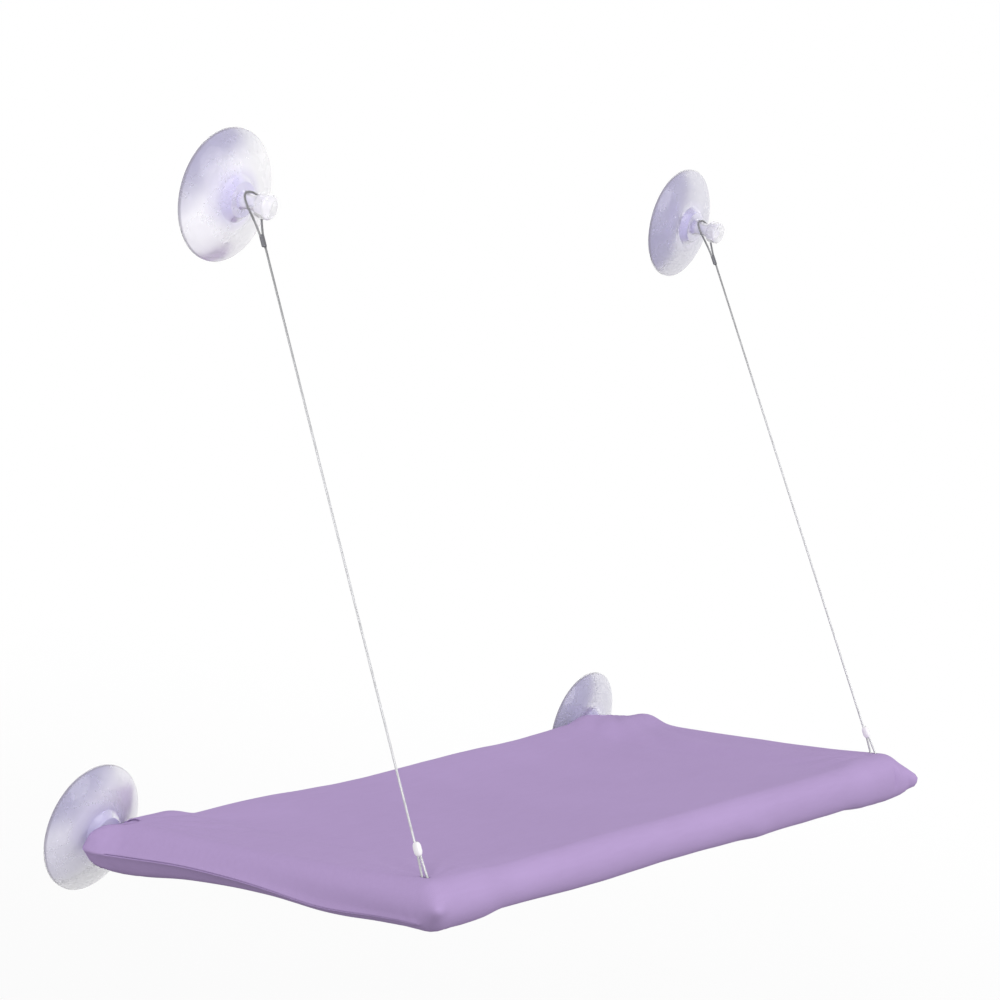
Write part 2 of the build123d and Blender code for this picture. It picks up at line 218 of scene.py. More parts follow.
class PerchCover(PropertyGroup):
    """Sizes and colours of the fabric sleeve and its closure."""

    thickness: length("Thickness", "Of the fabric", 0.0008)
    rear_radius: length("Rear radius", "Outside of the sleeve over the rear tube", 0.009)
    front_radius: length("Front radius", "Outside of the sleeve over the front tube", 0.0125)
    corner_radius: length("Corner radius", "Outside of the sleeve over a corner", 0.0149)
    elbow_edge: length("Elbow edge", "From the middle to the mouth of a corner", 0.2555)
    loose: length("Loose length", "Fabric that runs from a corner down to a tube", 0.032)
    top_sag: length("Top sag", "At the middle of the top panel", 0.008)
    bottom_sag: length("Bottom sag", "At the middle of the bottom panel", 0.009)
    end_sag: length("End sag", "Over the side tubes", 0.0024)
    seam_drop: angle("Seam drop", "How far down the side the end seam lies at the rear", 5.0)
    seam_fall: angle("Seam fall", "How much lower the end seam lies at the front", 29.0)
    seam_ridge: length("Seam ridge", "How far the end seam stands out", 0.0007)
    seam_flare: length("Seam flare", "How far the cloth at the end seam is drawn out", 0.0046)
    front_ear: length("Front ear", "How far a front corner stands out to a point", 0.0148)
    ear_pinch: share("Ear pinch", "How much flatter a front corner is at its point", 0.42)
    rear_ear: length("Rear ear", "How far a rear corner stands out", 0.0125)
    rear_peak: length("Rear peak", "How far the rear right corner stands up", 0.0005)
    end_peak: length("End peak", "How far the right end stands up before the rear corner", 0.0058)
    left_peak: length("Left peak", "How far the rear left corner stands up", 0.0005)
    rear_swell: length("Rear swell", "How far slack cloth stands up over the rear tube", 0.0036)
    side_hang: length("Side hang", "How far slack cloth hangs down at the ends", 0.0034)
    front_hang: length("Front hang", "How far the front hangs down left of its middle", 0.0026)
    front_slack: length("Front slack", "How far the front hangs down at its right end", 0.0055)
    wave: length("Wave", "Height of the slow waves of the panels", 0.0009)
    crease: length("Crease", "Height of the folds that run out of the corners", 0.0006)
    pucker: length("Pucker", "Height of the puckers along the end seams", 0.00022)
    kink: length("Kink", "Height of the fold across the middle of the front", 0.0012)
    grid: length("Grid", "Distance between the points of the mesh", 0.0034)
    neck_opening: length("Neck opening", "Half width of the slot for a cup's neck", 0.0066)
    gusset_gap: angle("Gusset gap", "From the middle of a cup's neck to the gusset above it", 24.0)
    gusset_sag: FloatVectorProperty(
        name="Gusset sag",
        description="How far the left and the right gusset sink into their slots",
        default=(0.0005, 0.0015),
        size=2,
        precision=5,
    )
    cable_opening: length("Cable opening", "Half width of the slit for a cable", 0.0014)
    cable_slit: length("Cable slit", "Half length of the slit for a cable", 0.0038)
    weave: length("Weave", "Distance between two threads", 0.00062)
    stitch: length("Stitch", "Length of one stitch and the gap after it", 0.0034)
    thread: length("Thread", "Radius of the sewing thread", 0.00028)
    fabric: colour("Fabric", "Of the lilac fabric", (0.445, 0.325, 0.580))
    thread_colour: colour("Thread colour", "Of the sewing thread", (0.47, 0.36, 0.60))
    closure_length: length("Closure length", "Of the flap along the rear", 0.4)
    strip: length("Strip", "Thickness of a hook or loop strip", 0.001)
    strip_colour: colour("Strip colour", "Of the hook and loop strips", (0.62, 0.55, 0.70))


class PerchStage(PropertyGroup):
    """Camera, floor and lamps."""

    place: FloatVectorProperty(
        name="Place",
        description="Of the camera",
        default=(-1.6049, -1.1056, 0.6051),
        subtype="TRANSLATION",
    )
    turn: angle("Turn", "Of the camera to the right from straight at the glass", 57.104)
    dip: angle("Dip", "Of the camera below the horizon", 11.291)
    roll: angle("Roll", "Of the camera about its own axis", 11.763)
    lens: FloatProperty(name="Lens", description="Focal length in millimetres", default=99.871)
    floor_drop: length("Floor drop", "From the lower cups down to the floor", 0.75)
    floor_fade: length("Floor fade", "Radius at which the floor is gone", 3.2)
    floor_bounce: share("Floor bounce", "How pale the floor is to the light it throws back", 0.22)
    floor_glow: share("Floor glow", "How far the floor shows as plain white", 0.86)
    sky: share("Sky", "Strength of the light from all sides", 0.66, 5.0)
    key: power("Key", "Power of the main lamp", 28.5)
    fill: power("Fill", "Power of the side lamp", 25.0)


class Signal:
    """A socket of a material's tree, so that its maths reads as an expression."""

    def __init__(self, finish, socket):
        self.finish = finish
        self.socket = socket

    def maths(self, operation, *values):
        settings = {"operation": operation}
        return self.finish.node("ShaderNodeMath", settings, dict(enumerate(values)))

    def __add__(self, other):
        return self.maths("ADD", self, other)

    __radd__ = __add__

    def __sub__(self, other):
        return self.maths("SUBTRACT", self, other)

    def __rsub__(self, other):
        return self.maths("SUBTRACT", other, self)

    def __mul__(self, other):
        return self.maths("MULTIPLY", self, other)

    __rmul__ = __mul__

    def __truediv__(self, other):
        return self.maths("DIVIDE", self, other)

    def sine(self):
        return self.maths("SINE", self)

    def size(self):
        return self.maths("ABSOLUTE", self)

    def larger(self, other):
        return self.maths("MAXIMUM", self, other)

    def between(self, low, high):
        """Nought below one value, one above the other, and smooth between them."""
        return self.finish.node(
            "ShaderNodeMapRange",
            {"interpolation_type": "SMOOTHSTEP"},
            {"Value": self, "From Min": low, "From Max": high},
        )


class Nodes:
    """The node tree of a material or a world."""

    def __init__(self, owner):
        owner.use_nodes = True
        self.tree = owner.node_tree
        self.tree.nodes.clear()

    def node(self, kind, settings=None, inputs=None, output=0):
        """Make a node, set it up, fill its sockets and return one of its outputs."""
        made = self.tree.nodes.new(kind)
        for key, value in (settings or {}).items():
            setattr(made, key, value)
        for key, value in (inputs or {}).items():
            if isinstance(value, Signal):
                self.tree.links.new(value.socket, made.inputs[key])
            else:
                made.inputs[key].default_value = value
        return Signal(self, made.outputs[output]) if len(made.outputs) else None

    def blend(self, factor, first, second):
        """One shader fading into another."""
        return self.node("ShaderNodeMixShader", None, {0: factor, 1: first, 2: second})

    def seen_by_eye(self):
        """One for light that the eye gets straight, off gloss or through plastic, else nought."""
        seen, glossy, through = (self.node("ShaderNodeLightPath", output=i) for i in (0, 3, 6))
        return seen.larger(glossy).larger(through)


class Finish(Nodes):
    """One procedural material."""

    def __init__(self, name):
        self.material = bpy.data.materials.new(name)
        super().__init__(self.material)

    def place(self):
        """The point on the object, in metres."""
        return self.node("ShaderNodeTexCoord", output=3)

    def layer(self, name):
        """A layer of flat places, in metres."""
        return self.node("ShaderNodeUVMap", {"uv_map": name})

    def part(self, vector, axis):
        """One of the three numbers of a vector."""
        return self.node("ShaderNodeSeparateXYZ", None, {"Vector": vector}, output=axis)

    def noise(self, scale, detail, stretch=(1.0, 1.0, 1.0)):
        """Soft noise from nought to one, with its grain stretched along an axis."""
        spot = self.node(
            "ShaderNodeVectorMath", {"operation": "MULTIPLY"}, {0: self.place(), 1: stretch}
        )
        return self.node(
            "ShaderNodeTexNoise", None, {"Vector": spot, "Scale": scale, "Detail": detail}
        )

    def mix(self, factor, first, second):
        """One colour fading into another."""
        tones = {0: factor}
        for key, tone in ((6, first), (7, second)):
            tones[key] = tone if isinstance(tone, Signal) else (*tone, 1.0)
        return self.node("ShaderNodeMix", {"data_type": "RGBA"}, tones, output=2)

    def bump(self, height, distance, strength):
        """A bump, its distance in metres."""
        return self.node(
            "ShaderNodeBump", None, {"Height": height, "Distance": distance, "Strength": strength}
        )

    def surface(self, **sockets):
        """The shader of the surface, with socket names written with underscores."""
        inputs = {key.replace("_", " "): value for key, value in sockets.items()}
        for key in ("Base Color", "Sheen Tint"):
            if key in inputs and not isinstance(inputs[key], Signal):
                inputs[key] = (*inputs[key], 1.0)
        return self.node("ShaderNodeBsdfPrincipled", None, inputs)

    def done(self, shader):
        """End the tree in a shader and return the material."""
        self.node("ShaderNodeOutputMaterial", None, {"Surface": shader})
        return self.material

    def painted(self, **sockets):
        """End the tree in a surface and return the material."""
        return self.done(self.surface(**sockets))


def tone(base, factor):
    """A colour made lighter or darker by a factor."""
    return tuple(min(1.0, part * factor) for part in base)


def make_mesh(name, points, faces, **flat_places):
    """A smooth mesh object from points, faces and named layers of a flat place for each point."""
    mesh = bpy.data.meshes.new(name)
    mesh.from_pydata([tuple(p) for p in points], [], [tuple(f) for f in faces])
    mesh.update()
    mesh.polygons.foreach_set("use_smooth", [True] * len(mesh.polygons))
    corners = np.array([corner.vertex_index for corner in mesh.loops])
    for key, places in flat_places.items():
        layer = mesh.uv_layers.new(name=key)
        layer.data.foreach_set("uv", np.asarray(places, np.float32)[corners].ravel())
    made = bpy.data.objects.new(name, mesh)
    bpy.context.scene.collection.objects.link(made)
    return made


def grid_faces(rows, columns, closed=False):
    """Faces of a grid of points, whose rows may run round to their start."""
    faces = []
    for i in range(rows - 1):
        low, high = i * columns, (i + 1) * columns
        for j in range(columns if closed else columns - 1):
            k = (j + 1) % columns
            faces.append((low + j, high + j, high + k, low + k))
    return faces


def tube_faces(start, rings, sides):
    """Faces of a tube of rings with closed ends."""
    faces = []
    for ring in range(rings - 1):
        low, high = start + ring * sides, start + (ring + 1) * sides
        for i in range(sides):
            j = (i + 1) % sides
            faces.append((low + i, low + j, high + j, high + i))
    faces.append(tuple(start + i for i in reversed(range(sides))))
    faces.append(tuple(start + (rings - 1) * sides + i for i in range(sides)))
    return faces


def thicken(piece, thickness, offset):
    """Give a skin its thickness, inwards or outwards."""
    cloth = piece.modifiers.new("cloth", "SOLIDIFY")
    cloth.thickness, cloth.offset = thickness, offset


def dress(piece, material, body, slot, *nodes):
    """Give a piece its material and its body, and hide the nodes that it stands for. The slot is
    not used.
    """
    piece.data.materials.clear()
    piece.data.materials.append(material)
    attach(piece, body)
    if nodes:
        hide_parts(*nodes)
    return piece


def repaint(node, material):
    """A better finish for a node that keeps its shape."""
    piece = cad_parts[node]
    piece.data.materials.clear()
    piece.data.materials.append(material)
    piece.data.polygons.foreach_set("material_index", [0] * len(piece.data.polygons))


def bed_axes(layout):
    """The bed's origin, its forward direction and its up direction."""
    forward = Vector((0, -cos(layout.tilt), sin(layout.tilt)))
    up = Vector((0, sin(layout.tilt), cos(layout.tilt)))
    return Vector((0, -layout.rear_gap, 0)), forward, up


def cable_ends(layout, side):
    """The neck point, the pin point and the direction of the cable on one side."""
    origin, forward, _ = bed_axes(layout)
    neck = Vector((side * layout.upper_half_spacing, -layout.loop_seat, layout.upper_height))
    pin = origin + forward * layout.depth + Vector((side * layout.half_width, 0, 0))
    return neck, pin, (pin - neck).normalized()


def arc(first, middle, last, count):
    """Points on the circle through three points, without the first of them."""
    (ax, ay), (bx, by), (cx, cy) = first, middle, last
    twist = 2 * (ax * (by - cy) + bx * (cy - ay) + cx * (ay - by))
    a, b, c = ax * ax + ay * ay, bx * bx + by * by, cx * cx + cy * cy
    x = (a * (by - cy) + b * (cy - ay) + c * (ay - by)) / twist
    y = (a * (cx - bx) + b * (ax - cx) + c * (bx - ax)) / twist
    start, end = np.arctan2(ay - y, ax - x), np.arctan2(cy - y, cx - x)
    turn = (end - start + pi) % (2 * pi) - pi
    radius = sqrt((ax - x) ** 2 + (ay - y) ** 2)
    return [
        (x + radius * cos(start + turn * i / count), y + radius * sin(start + turn * i / count))
        for i in range(1, count + 1)
    ]


def rounded(line, radii, count=5):
    """A line of points whose named corners are rounded."""
    made = []
    for i, point in enumerate(line):
        radius = radii.get(i, 0.0)
        if not radius:
            made.append(point)
            continue
        here = Vector(point)
        back, ahead = ((Vector(line[k]) - here).normalized() for k in (i - 1, i + 1))
        half = back.angle(ahead) / 2
        reach = radius / np.tan(half)
        centre = here + (back + ahead).normalized() * (radius / sin(half))
        first, last = here + back * reach, here + ahead * reach
        middle = centre - (back + ahead).normalized() * radius
        made.append(tuple(first))
        made.extend(arc(tuple(first), tuple(middle), tuple(last), count))
    return made


def cup_profile(cups):
    """Half of a cup's section: radius and height above the glass, from the seal to the hollow."""
    boss_top = cups.dome + cups.boss_height
    head_start = boss_top + cups.neck_length
    top = head_start + cups.head_length
    middle = ((cups.radius + cups.boss_base) / 2, (cups.lip + cups.dome) / 2 + cups.bulge)
    dome = arc((cups.radius, cups.lip), middle, (cups.boss_base, cups.dome), 34)
    ringed = []
    for r, h in dome:
        ring = sum(bell(r, place, RING_WIDTH) for place in DOME_RINGS)
        ringed.append((r, h + cups.ridge * ring))
    stem = rounded(
        [
            ringed[-1],
            (cups.boss_radius, boss_top),
            (cups.neck_root, boss_top),
            (cups.neck_radius, boss_top + cups.neck_taper),
            (cups.neck_radius, head_start),
            (cups.head_radius, head_start),
            (cups.head_radius, top),
            (0.0016, top),
            (0.0012, top + 0.00025),
            (0.0, top + 0.00025),
        ],
        STEM_ROUNDS,
    )
    rim = [(cups.seal_radius, 0.0), (cups.seal_radius + 0.003, 0.0)]
    rim += rounded(
        [(cups.seal_radius, 0.0), (cups.radius, 0.0), (cups.radius, cups.lip), ringed[3]],
        {1: 0.0003, 2: 0.0005},
        4,
    )[1:-1]
    roof = (cups.seal_radius / 2, cups.cavity - cups.lip / 2)
    hollow = [(0.0, cups.cavity)] + arc((0.0, cups.cavity), roof, (cups.seal_radius, 0.0), 20)[:-1]
    return rim + ringed[3:-1] + stem + hollow


def lathe(name, profile, centre, turns):
    """A closed turned mesh about an axis that points out of the glass."""
    points, rings, flat, around = [], [], [], []
    for radius, height in profile:
        count = 1 if radius < 1e-7 else turns
        rings.append(list(range(len(points), len(points) + count)))
        for i in range(count):
            a = 2 * pi * i / turns
            points.append((centre[0] + radius * cos(a), -height, centre[1] + radius * sin(a)))
            flat.append((radius, height))
            around.append((radius * cos(a), radius * sin(a)))
    faces = []
    for first, second in zip(rings, rings[1:] + rings[:1]):
        for i in range(turns):
            j = (i + 1) % turns
            if len(first) == 1 and len(second) == 1:
                break
            if len(first) == 1:
                faces.append((first[0], second[i], second[j]))
            elif len(second) == 1:
                faces.append((first[i], second[0], first[j]))
            else:
                faces.append((first[i], second[i], second[j], first[j]))
    return make_mesh(name, points, faces, flat=flat, around=around)


def clear_plastic(name, cups, shade_depth, lean):
    """Soft clear plastic with a lilac cast and faint flow marks, and painted shade: darker towards
    one side of each cup, a dark line round the rim, and a deeper middle that stands partly for the
    thick plastic and partly for painted shade.
    """
    finish = Finish(name)
    out, high = (finish.part(finish.layer("flat"), axis) for axis in (0, 1))
    right, up = (finish.part(finish.layer("around"), axis) for axis in (0, 1))
    haze = finish.noise(38.0, 3.0)
    marks = finish.noise(240.0, 2.0, stretch=(1.0, 0.25, 1.0))
    boss_top = cups.dome + cups.boss_height
    stem = high.between(boss_top, boss_top + 0.004)
    # The thick middle gets a deeper tint, partly for its thickness and partly as painted shade
    # round the boss.
    thick = (1 - out.between(cups.boss_radius, cups.radius * 0.55)) * (1 - stem)
    # Painted shade: a dark band at the outer edge of the rim.
    rim = out.between(cups.radius - 0.0011, cups.radius - 0.0003)
    # Painted shade: each cup is darker towards its upper side, tipped sideways by its lean, with
    # noise along the edge of the darker part.
    slope = (up * 0.8 + right * lean) / cups.radius + haze * 0.5 - 0.25
    ring = out.between(cups.radius * 0.40, cups.radius * 0.82)
    painted_shade_side = slope.between(0.15, 0.85) * (ring * 0.6 + 0.25)
    painted_shade = painted_shade_side.larger(shade_depth + (haze - 0.5) * 0.35) * (1 - stem * 0.8)
    shade = finish.mix(painted_shade, cups.clear_tint, cups.shaded_tint)
    deep = finish.mix(thick * 0.8, shade, cups.deep_tint_and_shade)
    # The painted dark rim goes over the rest.
    rim_shaded = finish.mix(rim * 0.8, deep, cups.rim_shade_tint)
    return finish.painted(
        Base_Color=rim_shaded,
        Roughness=haze * 0.12 + marks * 0.05 + (cups.gloss - 0.05),
        Transmission_Weight=cups.clearness,
        IOR=1.22,
        Specular_IOR_Level=0.3,
        Coat_Weight=0.3,
        Coat_Roughness=0.07,
        Normal=finish.bump(haze, 0.00025, 0.1),
    )


class PERCH_OT_cups(Operator):
    """Turn the four suction cups in clear plastic"""

    bl_idname = "perch.cups"
    bl_label = "Suction cups"

    def execute(self, context):
        layout, cups = settings(context, "layout", "cups")
        profile = cup_profile(cups)
        places = {}
        for name, side in SIDES.items():
            places[f"upper_{name}"] = (side * layout.upper_half_spacing, layout.upper_height)
        for name, side in SIDES.items():
            places[f"lower_{name}"] = (side * layout.half_width, 0.0)
        for (name, centre), shade_depth, lean in zip(places.items(), cups.shade_depth, cups.lean):
            material = clear_plastic(f"clear_pvc_{name}", cups, shade_depth, lean)
            cup = lathe(f"{name}_cup.moulded", profile, centre, cups.turns)
            dress(cup, material, "window_cups", "clear_pvc", f"{name}_cup")
        return {"FINISHED"}


def smooth_route(corners):
    """Points along the smooth spline that a route's corners control."""
    curve = bpy.data.curves.new("route", "CURVE")
    curve.dimensions = "3D"
    curve.resolution_u = 14
    spline = curve.splines.new("NURBS")
    spline.points.add(len(corners) - 1)
    for point, corner in zip(spline.points, corners):
        point.co = (*corner, 1.0)
    spline.order_u = 3
    spline.use_endpoint_u = True
    holder = bpy.data.objects.new("route", curve)
    mesh = bpy.data.meshes.new_from_object(holder)
    points = [v.co.copy() for v in mesh.vertices]
    bpy.data.objects.remove(holder)
    bpy.data.meshes.remove(mesh)
    bpy.data.curves.remove(curve)
    return points


def lengths_along(line):
    """The distance from the start of a line to each of its points."""
    return np.r_[0, np.cumsum(np.linalg.norm(np.diff(line, axis=0), axis=1))]


def even_steps(points, step):
    """The same line with its points a step apart."""
    line = np.array(points, float)
    runs = lengths_along(line)
    count = max(2, int(round(runs[-1] / step)))
    places = np.linspace(0, runs[-1], count + 1)
    return np.stack([np.interp(places, runs, line[:, i]) for i in range(3)], 1), places


def crosswise(way):
    """A unit direction across another."""
    helper = np.array([0.0, 0.0, 1.0]) if abs(way[2]) < 0.9 else np.array([1.0, 0.0, 0.0])
    across = np.cross(way, helper)
    return across / np.linalg.norm(across)


def carried_frames(line):
    """Two directions across the line at each point, carried along it without twist."""
    ways = np.gradient(line, axis=0)
    ways /= np.linalg.norm(ways, axis=1)[:, None]
    across = [crosswise(ways[0])]
    for way in ways[1:]:
        last = across[-1] - way * (across[-1] @ way)
        across.append(last / np.linalg.norm(last))
    across = np.array(across)
    return across, np.cross(ways, across)


def ring(centre, a, b, radius, sides):
    """Points round a centre, from two directions across the axis."""
    turns = [2 * pi * i / sides for i in range(sides)]
    return [centre + radius * (cos(turn) * a + sin(turn) * b) for turn in turns]


def tube(line, radius, sides, points, faces):
    """Add a round tube with closed ends along a line."""
    across, up = carried_frames(line)
    faces.extend(tube_faces(len(points), len(line), sides))
    for centre, a, b in zip(line, across, up):
        points.extend(ring(centre, a, b, radius, sides))


def wire_rope(name, corners, cables, phase=0.0):
    """A laid steel cable: strands that wind round a core."""
    line, places = even_steps(smooth_route(corners), cables.lay / 12)
    across, up = carried_frames(line)
    strand = cables.radius / 3
    points, faces = [], []
    tube(line, strand, 6, points, faces)
    for i in range(cables.strands):
        turn = 2 * pi * (places / cables.lay + i / cables.strands) + phase
        wound = line + 2 * strand * (np.cos(turn)[:, None] * across + np.sin(turn)[:, None] * up)
        tube(wound, strand, 6, points, faces)
    return make_mesh(name, points, faces)


def loop_corners(cables, centre, outwards, across, radius, start, length):
    """Corners of a teardrop loop whose legs lie side by side in a sleeve at its end."""
    offset, start, end = cables.pitch / 2, start - cables.lead, start + length
    reach = sqrt(offset**2 + start**2)
    lean = np.arcsin(radius / reach) - np.arctan2(offset, start)
    shoulder = radius * (1 + sin(lean)) / cos(lean)
    return [
        centre + outwards * end - across * offset,
        centre + outwards * start - across * offset,
        centre - outwards * radius - across * shoulder,
        centre - outwards * radius + across * shoulder,
        centre + outwards * start + across * offset,
        centre + outwards * end + across * offset,
    ]


def steel_finish(name, tint, roughness, darker_above=None):
    """Steel wire or sheet with drawn streaks and dull spots, darker above a height if given."""
    finish = Finish(name)
    streaks = finish.noise(900.0, 2.0, stretch=(1.0, 1.0, 0.08))
    spots = finish.noise(160.0, 4.0)
    dull = spots.between(0.55, 0.8)
    shade = finish.mix(streaks * 0.5 + dull * 0.5, tone(tint, 1.08), tone(tint, 0.82))
    if darker_above is not None:
        height = finish.part(finish.place(), 2)
        # The colour darkens along a stretch below the given height and stays dark above it.
        darkening = height.between(darker_above - DARKER_REACH, darker_above)
        shade = finish.mix(darkening * 0.8, shade, tone(tint, 0.38))
    return finish.painted(
        Base_Color=shade,
        Metallic=0.75,
        Roughness=streaks * 0.12 + dull * 0.2 + roughness,
        Normal=finish.bump(streaks, 0.00005, 0.4),
    )


def moulded_finish(name, tint, grain, roughness):
    """Moulded plastic with a fine grain, faint clouds and rubbed patches."""
    finish = Finish(name)
    fine = finish.noise(1400.0, 2.0)
    clouds = finish.noise(26.0, 4.0)
    rubbed = finish.noise(70.0, 3.0, stretch=(0.4, 1.0, 1.0)).between(0.56, 0.74)
    return finish.painted(
        Base_Color=finish.mix(clouds, tone(tint, 0.95), tone(tint, 1.05)),
        Roughness=fine * 0.12 + roughness - rubbed * 0.1,
        Normal=finish.bump(fine * 0.6 + rubbed * 0.4, grain, 0.5),
    )


def ferrule(name, cables, centre, run, wide_way, length, walls, roundness, dents=()):
    """A closed sleeve of oval section with rounded ends and pressed dents along it."""
    half_length = length / 2
    half_width = cables.pitch / 2 + cables.radius + walls[0]
    half_depth = cables.radius + walls[1]
    deep_way = run.cross(wide_way).normalized()
    stations = [sin(pi / 2 * k / 14) for k in range(-14, 15)]
    count, points = 28, []
    for s in stations:
        swell = max(0.30, max(0.0, 1 - abs(s) ** roundness) ** (1 / roundness))
        press = 1 - sum(0.10 * bell(s, dent, 0.09) for dent in dents)
        for i in range(count):
            a = 2 * pi * i / count
            across = abs(cos(a)) ** 0.8 * (1 if cos(a) > 0 else -1) * half_width * swell
            deep = abs(sin(a)) ** 0.8 * (1 if sin(a) > 0 else -1) * half_depth * swell * press
            points.append(centre + run * (s * half_length) + wide_way * across + deep_way * deep)
    return make_mesh(name, points, tube_faces(0, len(stations), count))


class PERCH_OT_cables(Operator):
    """Lay the two steel cables with their loops and finish their sleeves"""

    bl_idname = "perch.cables"
    bl_label = "Cables and sleeves"

    def execute(self, context):
        layout, cups, cables = settings(context, "layout", "cups", "cables")
        steel = steel_finish("steel_wire", cables.steel, 0.3, layout.upper_height)
        sleeve_steel = steel_finish("crimp_steel", cables.sleeve_steel, 0.36)
        sleeve_white = moulded_finish("white_sleeve", cables.sleeve_white, 0.00004, 0.3)
        right = Vector((1, 0, 0))
        for name, side in SIDES.items():
            neck, pin, run = cable_ends(layout, side)
            across = (right - run * run.x).normalized()
            fore = right.cross(run).normalized()
            bend = (cups.neck_radius + cables.neck_gap + cables.radius) / sqrt(1 - run.y**2)
            meeting = pin - run * (cables.lower_start + cables.lower_length / 2)
            loop = loop_corners(
                cables, neck, run, across, bend, cables.upper_start, cables.upper_length
            )
            top = wire_rope(f"{name}_cable.loop", loop, cables)
            dress(top, steel, "window_cups", "steel_wire", f"{name}_cable")
            start, last = loop[-1], meeting + fore * (cables.pitch / 2)
            straight = wire_rope(
                f"{name}_cable.run", [start, start.lerp(last, 0.5), last], cables, 0.6
            )
            dress(straight, steel, "window_cups", "steel_wire", f"{name}_cable")
            self.slacken(straight, layout, cables, neck, run, meeting)

            around = cables.pin_radius + cables.pin_gap + cables.radius
            foot = loop_corners(
                cables, pin, -run, fore, around, cables.lower_start, cables.lower_length
            )
            foot[-1] = meeting + run * 0.0005 + fore * (cables.pitch / 2)
            eye = wire_rope(f"{name}_cable.foot", foot, cables)
            dress(eye, steel, "bed", "steel_wire", f"{name}_cable_foot")
            upper_at = neck + run * (cables.upper_start + cables.upper_length / 2)
            pressed = ferrule(
                f"upper_{name}_crimp.pressed", cables, upper_at, run, across,
                cables.upper_length, CRIMP_WALLS, 9.0, (-0.5, 0.0, 0.5),
            )
            dress(pressed, sleeve_steel, "window_cups", "crimp_steel", f"upper_{name}_crimp")
            bead = ferrule(
                f"lower_{name}_crimp.bead", cables, meeting, run, fore,
                cables.lower_length, BEAD_WALLS, 2.6,
            )
            dress(bead, sleeve_white, "bed", "white_sleeve", f"lower_{name}_crimp")
        return {"FINISHED"}

    def slacken(self, piece, layout, cables, neck, run, meeting):
        """Work out how far the straight run would shorten for its foot to follow the folding bed,
        and give the run a mesh of its own; the run is not shortened.
        """
        arm = meeting + Vector((0, layout.rear_gap, 0))
        turned = Quaternion((-1, 0, 0), layout.fold) @ arm - Vector((0, layout.rear_gap, 0))
        anchor = neck + run * (cables.upper_start + cables.upper_length)
        axis = (turned - meeting).normalized()
        keep = 1 + (turned - meeting).length / (meeting - anchor).dot(axis)
        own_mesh(piece)


class PERCH_OT_frame(Operator):
    """Finish the tubes, the corners and the pins inside the sleeve"""

    bl_idname = "perch.frame"
    bl_label = "Tubes and corners"

    def execute(self, context):
        (colours,) = settings(context, "frame")
        tube_finish = moulded_finish("tube_plastic", colours.tube, 0.00003, 0.34)
        elbow_finish = moulded_finish("elbow_plastic", colours.elbow, 0.00008, 0.46)
        pin_finish = steel_finish("pin_steel", colours.pin, 0.28)
        for end in ("front", "rear", "left", "right"):
            repaint(f"{end}_tube", tube_finish)
        for name in SIDES:
            repaint(f"front_{name}_elbow", elbow_finish)
            repaint(f"rear_{name}_elbow", elbow_finish)
            repaint(f"{name}_cable_pin", pin_finish)
        return {"FINISHED"}


def eased(value, low, high):
    """Nought below one value, one above the other, and smooth between them."""
    part = np.clip((value - low) / (high - low), 0.0, 1.0)
    return part * part * (3 - 2 * part)


def bell(value, at, wide):
    """One at a place, and fading on both sides of it."""
    return np.exp(-(((value - at) / wide) ** 2))


def soft_field(points, scale, seed):
    """Smooth noise from minus one to one at each point."""
    shift = Vector((seed * 7.3, seed * 3.1, seed * 5.7))
    return np.array([noise.noise(Vector(p) * scale + shift) for p in points])


